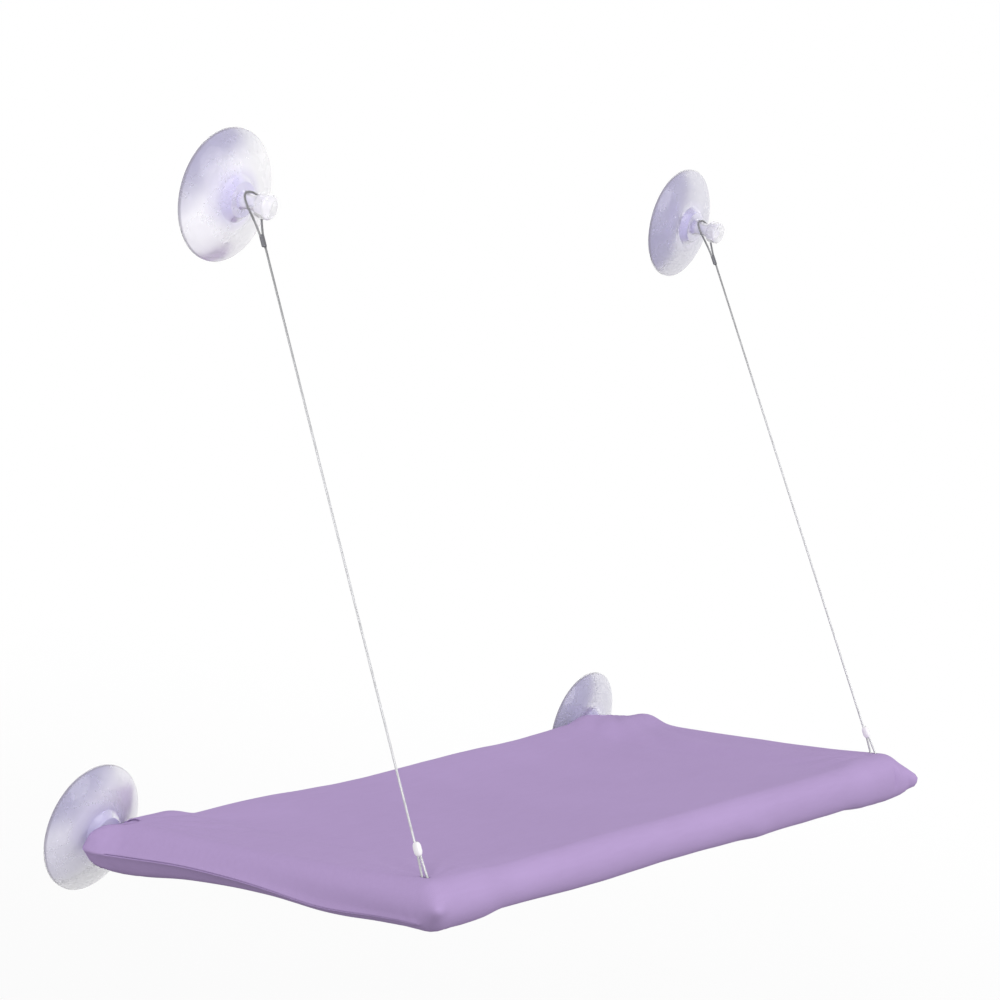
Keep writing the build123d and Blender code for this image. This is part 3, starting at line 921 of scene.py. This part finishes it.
class Sleeve:
    """The outer surface of the fabric sleeve: a place for each distance across and round it."""

    def __init__(self, layout, cover):
        self.layout = layout
        self.cover = cover
        self.arc = pi * cover.corner_radius
        self.quarter = self.arc / 2
        self.round = 2 * (self.arc + layout.depth)
        self.reach = layout.half_width + self.quarter
        self.axes = bed_axes(layout)

    def section(self, u, t):
        """Across, forward and up in the bed's own frame, before the folds."""
        lay, cov = self.layout, self.cover
        side = np.sign(u)
        end = np.clip((np.abs(u) - lay.half_width) / self.quarter, 0, 1) * pi / 2
        reach = np.minimum(np.abs(u), lay.half_width)
        # Thicker over the corners than over the tubes, and most slack in the middle.
        grown = eased(reach, cov.elbow_edge - cov.loose, cov.elbow_edge)
        rear = cov.rear_radius + (cov.corner_radius - cov.rear_radius) * grown
        front = cov.front_radius + (cov.corner_radius - cov.front_radius) * grown
        middle = np.clip(1 - (reach / lay.half_width) ** 2, 0, 1)
        top_sag = cov.end_sag + (cov.top_sag - cov.end_sag) * middle
        bottom_sag = -cov.end_sag + (cov.bottom_sag + cov.end_sag) * middle**0.7

        depth, bend = lay.depth, self.arc
        on_rear = t < bend
        # Round the rear tube, over the top and round the front tube; the bottom is the rest.
        panels = [on_rear, t < bend + depth, t < 2 * bend + depth]

        def by_panel(rear_value, top_value, front_value, bottom_value):
            return np.select(panels, [rear_value, top_value, front_value], bottom_value)

        s = by_panel(0.0, (t - bend) / depth, 1.0, 1 - (t - 2 * bend - depth) / depth)
        hollow = 4 * s * (1 - s)
        span = rear + (front - rear) * s
        turn = by_panel(t / bend, 0.0, (t - bend - depth) / bend, 0.0) * pi
        back = -rear * np.sin(turn) * np.cos(end)
        ahead = depth + front * np.sin(turn) * np.cos(end)
        forward = by_panel(back, s * depth, ahead, s * depth)
        over, under = span - top_sag * hollow, -span - bottom_sag * hollow
        up = by_panel(-rear * np.cos(turn), over, front * np.cos(turn), under) * np.cos(end)
        out = (cov.corner_radius - cov.end_sag * hollow) * np.sin(end)
        # The end bends down to its seam, which lies lower towards the front.
        drop = (cov.seam_drop + cov.seam_fall * eased(s, 0.2, 0.9)) * eased(end, 0.0, pi / 2)
        out, up = out * np.cos(drop) + up * np.sin(drop), up * np.cos(drop) - out * np.sin(drop)
        # Near the seam the cloth is drawn out to an edge.
        level = np.arcsin(np.clip(np.abs(np.cos(turn)) * np.cos(end), 0, 1))
        from_seam = np.where(on_rear, level, pi / 2 - end)
        flare = cov.seam_flare * (1 - 0.85 * eased(s, 0.45, 0.95))
        flare = flare * np.where(on_rear, eased(end, 0.45, 1.4), 1.0)
        bend_at = np.arccos(cov.corner_radius / (cov.corner_radius + flare))
        drawn = 1 / np.cos(np.maximum(bend_at - from_seam, 0))
        out, up = out * drawn, up * drawn
        forward = np.where(on_rear, forward * drawn, forward)
        ridge = cov.seam_ridge * bell(from_seam * cov.corner_radius, 0.0, 0.0012)
        across = side * (reach + out + ridge * np.cos(drop))
        return across, forward, up - ridge * np.sin(drop)

    def folds(self, across, forward, up):
        """The corners' ears, the swells and peaks along the rear and the slack cloth below."""
        lay, cov = self.layout, self.cover
        side = np.sign(across)
        for is_front in (True, False):
            centre = lay.depth if is_front else 0.0
            away = (forward - centre) * (1 if is_front else -1)
            out = np.abs(across) - lay.half_width
            flat = np.sqrt(away**2 + out**2)
            heading = np.degrees(np.arctan2(away, out))
            rise = np.degrees(np.arctan2(up, flat))
            near = np.exp(-((flat / EAR_REACH) ** 4))
            if is_front:
                aim, under, size, raised = (
                    np.where(side < 0, left, right) for left, right in FRONT_EARS
                )
                spread = np.where(rise > aim, EAR_SPREAD, under)
                ear = bell(heading, 45, 24) * bell(rise, aim, spread)
                push = cov.front_ear * ear * near * size
                across = across + side * push * 0.69
                forward = forward + push * 0.72
                up = up * (1 - cov.ear_pinch * ear * near) + push * raised
            else:
                ear = bell(heading, 40, 34) * np.exp(-((rise / 60) ** 4))
                push = cov.rear_ear * ear * near
                across = across + side * push * 0.72
                forward = forward - push * 0.66
        # Slack cloth stands up along the rear and before the right rear corner.
        right = eased(across, -0.05, lay.half_width)
        left = cov.left_peak * eased(-across, 0.16, 0.27)
        along = np.exp(-np.abs(across - lay.half_width) / 0.085)
        back = bell(forward, -0.002, 0.032)
        swell = sum(part * bell(across, at, wide) for at, wide, part in SWELLS)
        lift = cov.rear_peak * right * along + cov.rear_swell * swell + left
        end_fold = bell(forward, 0.028, 0.013) * eased(across, 0.22, lay.half_width)
        above = eased(up, -0.004, 0.006)
        up = up + (lift * back + cov.end_peak * end_fold) * above
        # It hangs down under the front tube, and at two places of each end.
        below = eased(-up, -0.004, 0.010)
        hang = cov.front_slack * eased(across, -0.16, 0.20)
        hang = hang + cov.front_hang * bell(across, -0.13, 0.09)
        up = up - hang * bell(forward, lay.depth, 0.05) * below
        outer = eased(np.abs(across), lay.half_width - 0.04, lay.half_width)
        bag = bell(forward, 0.006, 0.032) + bell(forward, 0.165, 0.036)
        up = up - cov.side_hang * bag * outer * below
        return across, forward, up

    def wrinkles(self, u, across, forward, up):
        """How far each point stands out: slow waves, creases, puckers, a kink and pleats."""
        lay, cov = self.layout, self.cover
        spots = np.stack([across, forward, up * 2], 1)
        standing = (soft_field(spots, 9.0, 1) + soft_field(spots, 42.0, 2) * 0.22) * cov.wave
        on_top = up > 0
        # Creases run out of every corner like rays.
        for is_front, sign in ((True, 1), (False, -1)):
            centre = lay.depth if is_front else 0.0
            for side in (-1, 1):
                dx = (across - side * lay.half_width) * side
                dy = (forward - centre) * sign
                far = np.hypot(dx, dy)
                heading = np.arctan2(-dy, -dx)
                rays = np.sin(heading * 17 + 0.8 * side + soft_field(spots, 14.0, 5) * 1.3)
                fade = bell(far, 0.03, 0.04) + 0.35 * bell(far, 0.09, 0.06)
                inside = eased(-dx, -0.012, 0.02) * eased(-dy, -0.012, 0.02)
                standing += cov.crease * rays * fade * inside * np.where(on_top, 0.8, 1.6)
        pucker = np.sin(forward / PUCKER_LENGTH * pi) * bell(np.abs(u), self.reach, 0.006)
        standing += cov.pucker * pucker
        # A slanting kink below the middle of the front, and pleats near its right end.
        line = (across - 0.085) + (up + 0.010) * 1.6
        kink = bell(line, 0.0, 0.016) * bell(up, -0.012, 0.010)
        standing += cov.kink * kink * (forward > lay.depth - 0.01)
        for at, height, wide, deep in PLEATS:
            off = (across - at + (up - height) * 0.25) / wide
            pleat = (bell(off, 0.0, 1.0) - 0.8 * bell(off, 1.8, 1.0)) * bell(up, height, 0.0065)
            standing -= deep * pleat * (forward > lay.depth)
        return standing

    def points(self, u, t):
        """Places in the shared frame and the smooth outward directions."""
        u, t = np.asarray(u, float), np.asarray(t, float) % self.round

        def smooth(a, b):
            x, f, h = self.folds(*self.section(a, b))
            return self.shared(x, f, h)

        small = 0.0004  # a step to take the slopes over
        inner = np.clip(u, -self.reach + small, self.reach - small)
        du = smooth(inner + small, t) - smooth(inner - small, t)
        dt = smooth(inner, t + small) - smooth(inner, (t - small) % self.round)
        normal = np.cross(dt, du)
        size = np.linalg.norm(normal, axis=1)[:, None]
        normal = normal / np.maximum(size, 1e-12)
        x, f, h = self.folds(*self.section(u, t))
        place = self.shared(x, f, h)
        standing = self.wrinkles(u, x, f, h)
        closing = eased(self.reach - np.abs(u), 0.0, 0.002)
        return place + normal * (standing * closing)[:, None], normal

    def shared(self, across, forward, up):
        """From the bed's own frame to the shared frame."""
        origin, ahead, above = self.axes
        return (
            np.array(origin)
            + across[:, None] * np.array([1.0, 0, 0])
            + forward[:, None] * np.array(ahead)
            + up[:, None] * np.array(above)
        )

    def round_at(self, rise):
        """Distance round the sleeve of a direction from the rear axis, up from the glass."""
        return self.cover.corner_radius * (pi / 2 + rise + self.layout.tilt)


class Opening:
    """A slot in the sleeve with round ends, given in distances across and round it."""

    def __init__(self, u, first, last, radius):
        self.u, self.first, self.last, self.radius = u, first, last, radius

    def depth(self, u, t):
        """How far inside the slot a place is, and the direction out of it."""
        spine = np.clip(t, self.first, self.last)
        du, dt = u - self.u, t - spine
        far = np.hypot(du, dt)
        safe = np.maximum(far, 1e-9)
        return self.radius - far, du / safe, dt / safe

    def outline(self, step, margin):
        """Places round the slot, a margin outside its edge."""
        radius = self.radius + margin
        straight = self.last - self.first
        half = straight + pi * radius
        count = int(2 * half / step)
        made = []
        for i in range(count):
            back, d = divmod(2 * half * i / count, half)
            side, start, end = (-1, self.last, self.first) if back else (1, self.first, self.last)
            turn = max(0.0, d - straight) / radius
            at = start + side * d if d < straight else end + side * radius * sin(turn)
            made.append((self.u + side * radius * cos(turn), at))
        return made


def sleeve_openings(sleeve):
    """The slots for the cups' necks and the slits for the cables."""
    layout, cover = sleeve.layout, sleeve.cover
    made = []
    first, last = sleeve.round_at(0.0), sleeve.round_at(layout.fold)
    slit_at = sleeve.arc + layout.depth - cover.corner_radius * SLIT_TURN
    spare = cover.cable_slit - cover.cable_opening
    for side in SIDES.values():
        neck_at, cable_at = side * layout.half_width, side * (layout.half_width - SLIT_INSET)
        made.append(Opening(neck_at, first, last, cover.neck_opening))
        made.append(Opening(cable_at, slit_at - spare, slit_at + spare, cover.cable_opening))
    return made


def sleeve_mesh(sleeve, openings):
    """The sleeve's skin, with its slots cut and its ends sewn shut."""
    # The columns and rows lie closer over the bent ends and round the slots and slits.
    step, fine = sleeve.cover.grid, 0.0014
    bent = sleeve.layout.half_width - 0.012
    half, tail = np.arange(0.0, bent, step), np.arange(bent, sleeve.reach - 0.0004, fine)
    across = [*half, *tail, sleeve.reach]
    across = [-a for a in reversed(across[1:])] + across
    slit = openings[1].first + openings[1].radius
    rear_rows = list(np.arange(sleeve.round_at(radians(-40)), sleeve.round_at(0.0) + 0.034, fine))
    slit_rows = list(np.arange(slit - 0.009, slit + 0.012, 0.0011))
    rounds = rear_rows + slit_rows
    for row in np.arange(0.0, sleeve.round - step / 2, step):
        if all(not f[0] - 0.001 < row < f[-1] + 0.001 for f in (rear_rows, slit_rows)):
            rounds.append(row)
    rounds.sort()
    nu, nt = len(across), len(rounds)
    u, t = np.meshgrid(across, rounds, indexing="ij")
    u, t = u.ravel(), t.ravel()
    faces = np.array(grid_faces(nu, nt, closed=True))
    # Leave out the faces in an opening and pull the edge left by them onto its outline.
    wide = (rounds[-1] + sleeve.round) / 2
    t_face = t[faces]
    t_face = np.where((t_face.max(1) - t_face.min(1))[:, None] > sleeve.round / 2, wide, t_face)
    u_mid, t_mid = u[faces].mean(1), t_face.mean(1)
    keep = np.ones(len(faces), bool)
    for opening in openings:
        keep &= opening.depth(u_mid, t_mid)[0] < 0
    cut = set(faces[~keep].ravel().tolist())
    faces = faces[keep]
    edge = np.array(sorted(cut & set(faces.ravel().tolist())))
    for opening in openings:
        deep, du, dt = opening.depth(u[edge], t[edge])
        near = np.abs(deep) < 0.004
        u[edge[near]] += (du * deep)[near]
        t[edge[near]] += (dt * deep)[near]
    places = sleeve.points(u, t)[0]
    made = make_mesh("cover.sleeve", places, faces, flat=np.stack([u, t], 1))
    # Both ends lie flat on themselves along their seams, so their points are joined.
    work = bmesh.new()
    work.from_mesh(made.data)
    loose = [v for v in work.verts if not v.link_faces]
    bmesh.ops.delete(work, geom=loose, context="VERTS")
    bmesh.ops.remove_doubles(work, verts=work.verts, dist=0.00004)
    work.to_mesh(made.data)
    work.free()
    return made


def neck_gusset(name, sleeve, opening, sag):
    """A panel of stretch cloth that closes a slot beyond the neck."""
    cover = sleeve.cover
    neck_at = opening.first
    clear = cover.corner_radius * cover.gusset_gap
    half = opening.radius + cover.thickness
    wide, long = 19, 26  # points across the slot and along it
    across = np.repeat(np.linspace(-half, half, wide), long)
    part = np.tile(np.linspace(0, 1, long), wide)
    low = neck_at + np.sqrt(np.maximum(clear**2 - across**2, 0))
    high = opening.last + np.sqrt(np.maximum(half**2 - across**2, 0))
    t = low + (high - low) * part
    places, outs = sleeve.points(opening.u + across, t)
    inset = cover.thickness + sag * (0.2 + np.sin(pi * part) * (1 - (across / half) ** 2))
    places = places - outs * inset[:, None]
    faces = grid_faces(wide, long)
    made = make_mesh(name, places, faces, flat=np.stack([opening.u + across, t], 1))
    thicken(made, cover.thickness * 0.6, -1.0)
    return made


def crumple(piece, sleeve, opening):
    """Work out where a gusset would be pressed together at the far end of its slot as the bed
    folds, and give it a mesh of its own; it is not pressed.
    """
    layout, cover = sleeve.layout, sleeve.cover
    reach = opening.radius / cover.corner_radius
    first, last = cover.gusset_gap, layout.fold + reach
    middle = (first + last) / 2
    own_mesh(piece)


def capsule(first, last, radius, points, faces):
    """Add one raised stitch between two places."""
    first, last = np.array(first), np.array(last)
    way = last - first
    reach = np.linalg.norm(way)
    way = way / reach
    a = crosswise(way)
    b = np.cross(way, a)
    faces.extend(tube_faces(len(points), len(STITCH_SHAPE), 6))
    for part, size in STITCH_SHAPE:
        points.extend(ring(first + way * reach * part, a, b, radius * size, 6))


def sew(places, outs, lift, cover, points, faces):
    """Add a row of stitches along a line of places and directions."""
    runs = lengths_along(places)
    count = int(runs[-1] / cover.stitch)
    for i in range(count):
        ends = []
        for d in ((i + 0.12) * cover.stitch, (i + 0.84) * cover.stitch):
            spot, out = (
                np.array([np.interp(d, runs, line[:, k]) for k in range(3)])
                for line in (places, outs)
            )
            ends.append(spot + out * lift)
        capsule(*ends, cover.thread, points, faces)


def fabric_finish(name, cover):
    """Plain woven fabric: crossed threads, uneven yarns, soft wear and a short nap."""
    finish, tint = Finish(name), cover.fabric
    wander = finish.noise(30.0, 2.0) * 0.0016
    threads = []
    for axis in range(2):
        along = finish.part(finish.layer("flat"), axis) + wander
        threads.append((along * (pi / cover.weave)).sine())
    crossing = threads[0] * threads[1]
    ribs = threads[0].size() * 0.5 + threads[1].size() * 0.5
    cloth = crossing * 0.25 + ribs * 0.75
    slubs = finish.noise(420.0, 2.0, stretch=(0.12, 1.0, 1.0))
    clouds = finish.noise(11.0, 4.0)
    nap = finish.noise(2600.0, 2.0)
    shade = finish.mix(cloth * 0.6 + slubs * 0.4, tone(tint, 0.90), tone(tint, 1.10))
    faded = finish.mix(clouds.between(0.35, 0.75) * 0.30, shade, tone(tint, 1.10))
    height = cloth * 0.7 + slubs * 0.2 + nap * 0.1
    return finish.painted(
        Base_Color=faded,
        Roughness=nap * 0.08 + 0.86,
        Specular_IOR_Level=0.15,
        Sheen_Weight=0.12,
        Sheen_Roughness=0.5,
        Sheen_Tint=tone(tint, 1.5),
        Normal=finish.bump(height, 0.00016, 0.55),
    )


def thread_finish(cover):
    """Twisted sewing thread, a shade lighter than the fabric."""
    finish = Finish("sewing_thread")
    tint = cover.thread_colour
    twist = finish.noise(2400.0, 2.0, stretch=(1.0, 0.4, 1.0))
    return finish.painted(
        Base_Color=finish.mix(twist, tone(tint, 0.86), tone(tint, 1.14)),
        Roughness=twist * 0.15 + 0.55,
        Normal=finish.bump(twist, 0.00005, 0.6),
    )


class PERCH_OT_cover(Operator):
    """Pull the fabric sleeve over the frame and sew its seams and openings"""

    bl_idname = "perch.cover"
    bl_label = "Fabric sleeve"

    def execute(self, context):
        layout, cover = settings(context, "layout", "cover")
        sleeve = Sleeve(layout, cover)
        openings = sleeve_openings(sleeve)
        skin = sleeve_mesh(sleeve, openings)
        if not skin.data.polygons:
            raise RuntimeError("the sleeve has no faces")
        fabric = fabric_finish("lilac_fabric", cover)
        dress(skin, fabric, "bed", "lilac_fabric", "cover_top", "cover_bottom")
        thicken(skin, cover.thickness, -1.0)

        for name, opening, sag in zip(SIDES, openings[::2], cover.gusset_sag):
            gusset = neck_gusset(f"cover.{name}_gusset", sleeve, opening, sag)
            dress(gusset, fabric, "bed", "lilac_fabric")
            crumple(gusset, sleeve, opening)

        points, faces = [], []
        lift = cover.thread * 0.4
        for side in SIDES.values():
            top = np.arange(sleeve.arc + 0.012, sleeve.arc + layout.depth - 0.010, 0.002)
            at = np.full(len(top), side * (sleeve.reach - SEAM_ALLOWANCE))
            for rows in (top, 2 * sleeve.arc + layout.depth + (top - sleeve.arc)):
                sew(*sleeve.points(at, rows), lift, cover, points, faces)
        for opening in openings:
            wide = SLOT_STITCH if opening.radius > cover.cable_opening else SLIT_STITCH
            rings = [opening.outline(SLIT_STITCH, gap) for gap in (EDGE_GAP, EDGE_GAP + wide)]
            count = min(len(ring) for ring in rings)
            ends = []
            for ring in rings:
                spots = np.array([ring[int(i * len(ring) / count)] for i in range(count)])
                places, outs = sleeve.points(spots[:, 0], spots[:, 1])
                ends.append(places + outs * lift)
            for inner, outer in zip(*ends):
                capsule(inner, outer, cover.thread, points, faces)
        stitches = make_mesh("cover.stitching", points, faces)
        dress(stitches, thread_finish(cover), "bed", "lilac_fabric")
        return {"FINISHED"}


def rear_place(sleeve, across, turn_degrees, radius):
    """A place round the rear tube: angle up from straight back in the bed's own frame."""
    a = np.radians(turn_degrees)
    return sleeve.shared(across, -radius * np.cos(a), radius * np.sin(a))


def wrapped_strip(name, sleeve, radius, ends, half, thickness, wave=0.0):
    """A strip bent round the rear tube, with soft edges and a little unevenness."""
    first, last = ends
    across = np.linspace(-half, half, int(2 * half / 0.0035))
    turns = np.linspace(first, last, max(8, int(abs(last - first) * radius * pi / 180 / 0.0012)))
    x, a = np.repeat(across, len(turns)), np.tile(turns, len(across))
    bulge = soft_field(np.stack([x, a * 0.0006, a * 0], 1), 26.0, 3) * wave
    near_end = bell(np.abs(x), half, 0.003)
    level = radius + np.abs(bulge) + wave * 0.5 * near_end
    places = rear_place(sleeve, x, a, level)
    flat = np.stack([x, np.radians(a) * radius], 1)
    made = make_mesh(name, places, grid_faces(len(across), len(turns)), flat=flat)
    thicken(made, thickness, 1.0)
    return made


def strip_finish(name, cover, hooked):
    """Nylon hooks in rows, or a pile of soft loops."""
    finish = Finish(name)
    tint = cover.strip_colour
    if hooked:
        rows = [
            (finish.part(finish.layer("flat"), axis) * (pi / pitch)).sine().size()
            for axis, pitch in enumerate(HOOK_PITCH)
        ]
        height = (rows[0] * rows[1]).between(0.35, 0.85)
        shade = finish.mix(height, tone(tint, 0.78), tone(tint, 1.05))
        roughness = height * 0.1 + 0.42
        depth = 0.0007
    else:
        tangle = finish.noise(900.0, 6.0)
        tufts = finish.noise(260.0, 3.0)
        height = tangle * 0.6 + tufts * 0.4
        shade = finish.mix(height, tone(tint, 0.74), tone(tint, 1.18))
        roughness = tufts * 0.1 + 0.85
        depth = 0.0008
    return finish.painted(
        Base_Color=shade,
        Roughness=roughness,
        Normal=finish.bump(height, depth, 0.8),
    )


class PERCH_OT_closure(Operator):
    """Add the flap along the rear and the hook and loop strips under it"""

    bl_idname = "perch.closure"
    bl_label = "Rear closure"

    def execute(self, context):
        layout, cover = settings(context, "layout", "cover")
        sleeve = Sleeve(layout, cover)
        half = cover.closure_length / 2
        base = cover.rear_radius + 0.0001
        loops = wrapped_strip("closure.loops", sleeve, base, STRIP_TURNS, half, cover.strip)
        dress(loops, strip_finish("loop_pile", cover, False), "bed", "hook_and_loop", "loop_strip")
        level = base + cover.strip
        hooks = wrapped_strip("closure.hooks", sleeve, level, STRIP_TURNS, half, cover.strip)
        dress(hooks, strip_finish("hook_rows", cover, True), "bed", "hook_and_loop", "hook_strip")
        level = base + 2 * cover.strip + 0.0001
        flap = wrapped_strip(
            "closure.flap", sleeve, level, FLAP_TURNS, half, cover.thickness, 0.0006
        )
        fabric = fabric_finish("flap_fabric", cover)
        dress(flap, fabric, "bed", "lilac_fabric", "closure_flap")
        points, faces = [], []
        for turned in FLAP_STITCHES:
            x = np.arange(-half + 0.006, half - 0.005, 0.003)
            a = np.full(len(x), turned)
            radius = level + cover.thickness + 0.00045
            places = rear_place(sleeve, x, a, radius)
            outs = rear_place(sleeve, x * 0, a, 1.0) - rear_place(sleeve, x * 0, a, 0.0)
            sew(places, outs, 0.0, cover, points, faces)
        stitches = make_mesh("closure.stitching", points, faces)
        dress(stitches, thread_finish(cover), "bed", "lilac_fabric")
        return {"FINISHED"}


def white_world(world, strength):
    """A plain white that lights the object less than it shows."""
    nodes = Nodes(world)
    shown = nodes.seen_by_eye()
    light = nodes.node(
        "ShaderNodeBackground", None, {"Color": (1.0, 0.995, 1.0, 1.0), "Strength": strength}
    )
    white = nodes.node("ShaderNodeBackground", None, {"Color": WHITE})
    nodes.node("ShaderNodeOutputWorld", None, {"Surface": nodes.blend(shown, light, white)})


class PERCH_OT_stage(Operator):
    """Set the camera, the floor and the lamps"""

    bl_idname = "perch.stage"
    bl_label = "Stage"

    def execute(self, context):
        (stage,) = settings(context, "stage")
        scene = context.scene
        lens = bpy.data.cameras.new("camera")
        lens.lens = stage.lens
        lens.sensor_width = 36.0
        lens.clip_start, lens.clip_end = 0.05, 200.0
        camera = bpy.data.objects.new("camera", lens)
        scene.collection.objects.link(camera)
        level = cos(stage.dip)
        ahead = Vector((level * sin(stage.turn), level * cos(stage.turn), -sin(stage.dip)))
        aim = ahead.to_track_quat("-Z", "Y") @ Quaternion((0, 0, 1), stage.roll)
        camera.matrix_world = Matrix.Translation(stage.place) @ aim.to_matrix().to_4x4()
        scene.camera = camera

        finish = Finish("pale_floor")
        spot = finish.place()
        away = finish.node("ShaderNodeVectorMath", {"operation": "LENGTH"}, {0: spot}, output=1)
        fade = away.between(stage.floor_fade * 0.35, stage.floor_fade)
        seen = finish.seen_by_eye()
        grain = finish.noise(3.0, 3.0)
        pale = finish.mix(grain, (0.93, 0.93, 0.93), (0.96, 0.96, 0.96))
        matt = finish.surface(
            Base_Color=finish.mix(seen, (stage.floor_bounce,) * 3, pale),
            Roughness=0.9,
            Specular_IOR_Level=0.1,
        )
        glow = finish.node("ShaderNodeEmission", None, {"Color": WHITE, "Strength": 1.0})
        shown = finish.blend(seen * stage.floor_glow, matt, glow)
        clear = finish.node("ShaderNodeBsdfTransparent")
        floor_material = finish.done(finish.blend(fade, shown, clear))
        reach, count = stage.floor_fade, 48
        turns = [2 * pi * i / count for i in range(count)]
        edge = [(reach * cos(turn), reach * sin(turn), 0.0) for turn in turns]
        floor = make_mesh("floor", edge, [range(count)])
        floor.location = (0.0, -0.1, -stage.floor_drop)
        floor.data.materials.append(floor_material)

        lamps = {
            "key": (stage.key, (0.2, -2.6, 1.46), 1.6),
            "fill": (stage.fill, (-2.7, -0.9, 1.12), 1.2),
        }
        for name, (watts, place, size) in lamps.items():
            light = bpy.data.lights.new(name, "AREA")
            light.shape, light.size, light.energy = "DISK", size, watts
            lamp = bpy.data.objects.new(name, light)
            scene.collection.objects.link(lamp)
            lamp.location = place
            aim = Vector((0.0, -0.15, 0.1)) - lamp.location
            lamp.rotation_mode = "QUATERNION"
            lamp.rotation_quaternion = aim.to_track_quat("-Z", "Y")
        scene.world = bpy.data.worlds.new("plain_white")
        white_world(scene.world, stage.sky)
        scene.view_settings.view_transform = "Standard"
        return {"FINISHED"}


OPERATORS = (
    PERCH_OT_stage,
    PERCH_OT_cables,
    PERCH_OT_cups,
    PERCH_OT_frame,
    PERCH_OT_cover,
    PERCH_OT_closure,
)


class PERCH_PT_panel(Panel):
    """Lists the pieces and their settings"""

    bl_idname = "PERCH_PT_panel"
    bl_label = "Window perch"
    bl_space_type = "VIEW_3D"
    bl_region_type = "UI"
    bl_category = "Perch"

    def draw(self, context):
        for operator in OPERATORS:
            self.layout.operator(operator.bl_idname)
        for name in GROUPS:
            box = self.layout.box()
            group = getattr(context.scene, name)
            for key in group.bl_rna.properties.keys():
                if key not in ("rna_type", "name"):
                    box.prop(group, key)


GROUPS = {
    "perch_layout": PerchLayout,
    "perch_cups": PerchCups,
    "perch_cables": PerchCables,
    "perch_frame": PerchFrame,
    "perch_cover": PerchCover,
    "perch_stage": PerchStage,
}
CLASSES = (*GROUPS.values(), *OPERATORS, PERCH_PT_panel)


def register():
    """Make the settings, the operators and the panel known."""
    for made in CLASSES:
        bpy.utils.register_class(made)
    for name, group in GROUPS.items():
        setattr(bpy.types.Scene, name, PointerProperty(type=group))


def unregister():
    """Take them away again."""
    for name in GROUPS:
        delattr(bpy.types.Scene, name)
    for made in reversed(CLASSES):
        bpy.utils.unregister_class(made)


def main():
    """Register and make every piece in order."""
    register()
    for operator in OPERATORS:
        group, _, call = operator.bl_idname.partition(".")
        getattr(getattr(bpy.ops, group), call)()


if __name__ == "__main__":
    main()
